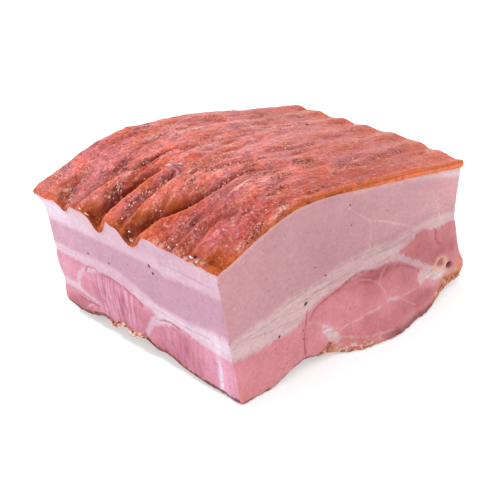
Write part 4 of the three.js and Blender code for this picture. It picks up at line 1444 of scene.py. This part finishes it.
# A few larger specks that the knife pressed into the cuts: side, across, up, radius
SPECKS = [
    ("front", 34.6, 23.2, 0.75), ("front", 20.6, 16.7, 0.55), ("front", 45.0, 29.9, 0.4),
    ("front", 57.4, 50.8, 0.35), ("front", 57.8, 43.8, 0.3), ("front", 30.4, 11.2, 0.35),
    ("front", 31.4, 14.6, 0.3), ("front", 40.2, 34.8, 0.3), ("left", 33.6, 38.2, 0.6),
    ("left", 32.2, 36.0, 0.6), ("left", 56.6, 31.2, 0.4), ("left", 68.2, 31.0, 0.4),
]
SPECK_SEED = 91
SPECK_SLOPE = 30
SPECK_WIDTH = 0.75
SPECK_HEIGHT = 0.15
pressed = [(cut_point(side, across, up), along_cut(side, SPECK_SLOPE), OUTWARD[side],
            (reach, SPECK_WIDTH * reach, SPECK_HEIGHT)) for side, across, up, reach in SPECKS]
specks = make_lumps("pressed_specks", pressed, SPECK_SEED)
specks.data.materials.append(char)
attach(specks, "root")

# The table, the light and the camera
# A plain pale table under soft studio light: bright surroundings that open every shadow, a broad lamp
# high behind for the gloss on the rind, and a cool one at the left for the short cut. The board gives off a
# little light of its own, so that it comes out nearly white.
bpy.context.scene.view_settings.view_transform = "Standard"
TABLE = 4.0
TABLE_WHITE = "#e6e6e6"
corners = TABLE * np.array([(-1, -1, 0), (1, -1, 0), (1, 1, 0), (-1, 1, 0)])
table = make_piece("table", corners, [[0, 1, 2, 3]])
paint, tree, _, _ = new_material("matt_white_board")
end_in(tree, {"Base Color": linear(TABLE_WHITE), "Roughness": 0.9, "Specular IOR Level": 0.1,
              "Emission Color": (1, 1, 1, 1), "Emission Strength": 0.44}, {})
table.data.materials.append(paint)

world = bpy.data.worlds.new("studio")
bpy.context.scene.world = world
world.use_nodes = True
world.node_tree.nodes.clear()
sky = add_node(world.node_tree, "ShaderNodeBackground", {"Color": (1, 1, 1, 1), "Strength": 0.9})
add_node(world.node_tree, "ShaderNodeOutputWorld", links={"Surface": sky})
for name, towards, power, spread, tint in (
        ("high_back_light", (-0.25, 0.62, 0.75), 1.5, 12, (1.0, 0.99, 0.97)),
        ("cool_left_light", (-0.85, -0.1, 0.5), 0.26, 60, (0.45, 0.6, 1.0))):
    lamp_data = bpy.data.lights.new(name, "SUN")
    lamp_data.energy = power
    lamp_data.angle = math.radians(spread)
    lamp_data.color = tint
    lamp = bpy.data.objects.new(name, lamp_data)
    lamp.rotation_euler = Vector(towards).to_track_quat("Z", "Y").to_euler()
    bpy.context.scene.collection.objects.link(lamp)

# The photograph was taken from the front corner, 26 degrees above the table, with a short telephoto lens
CAMERA_CORNER = (-181.65, -184.17, 179.69)
CAMERA_AZIMUTH = -45.25
CAMERA_DROP = 25.91
camera_data = bpy.data.cameras.new("camera")
camera_data.sensor_width = 36.0
camera_data.lens = 72.0
camera = bpy.data.objects.new("camera", camera_data)
camera.location = [(a - b) / 1000 for a, b in zip(CAMERA_CORNER, (*MIDDLE, 0))]
camera.rotation_euler = (math.radians(90 - CAMERA_DROP), 0, math.radians(CAMERA_AZIMUTH))
bpy.context.scene.collection.objects.link(camera)
bpy.context.scene.camera = camera
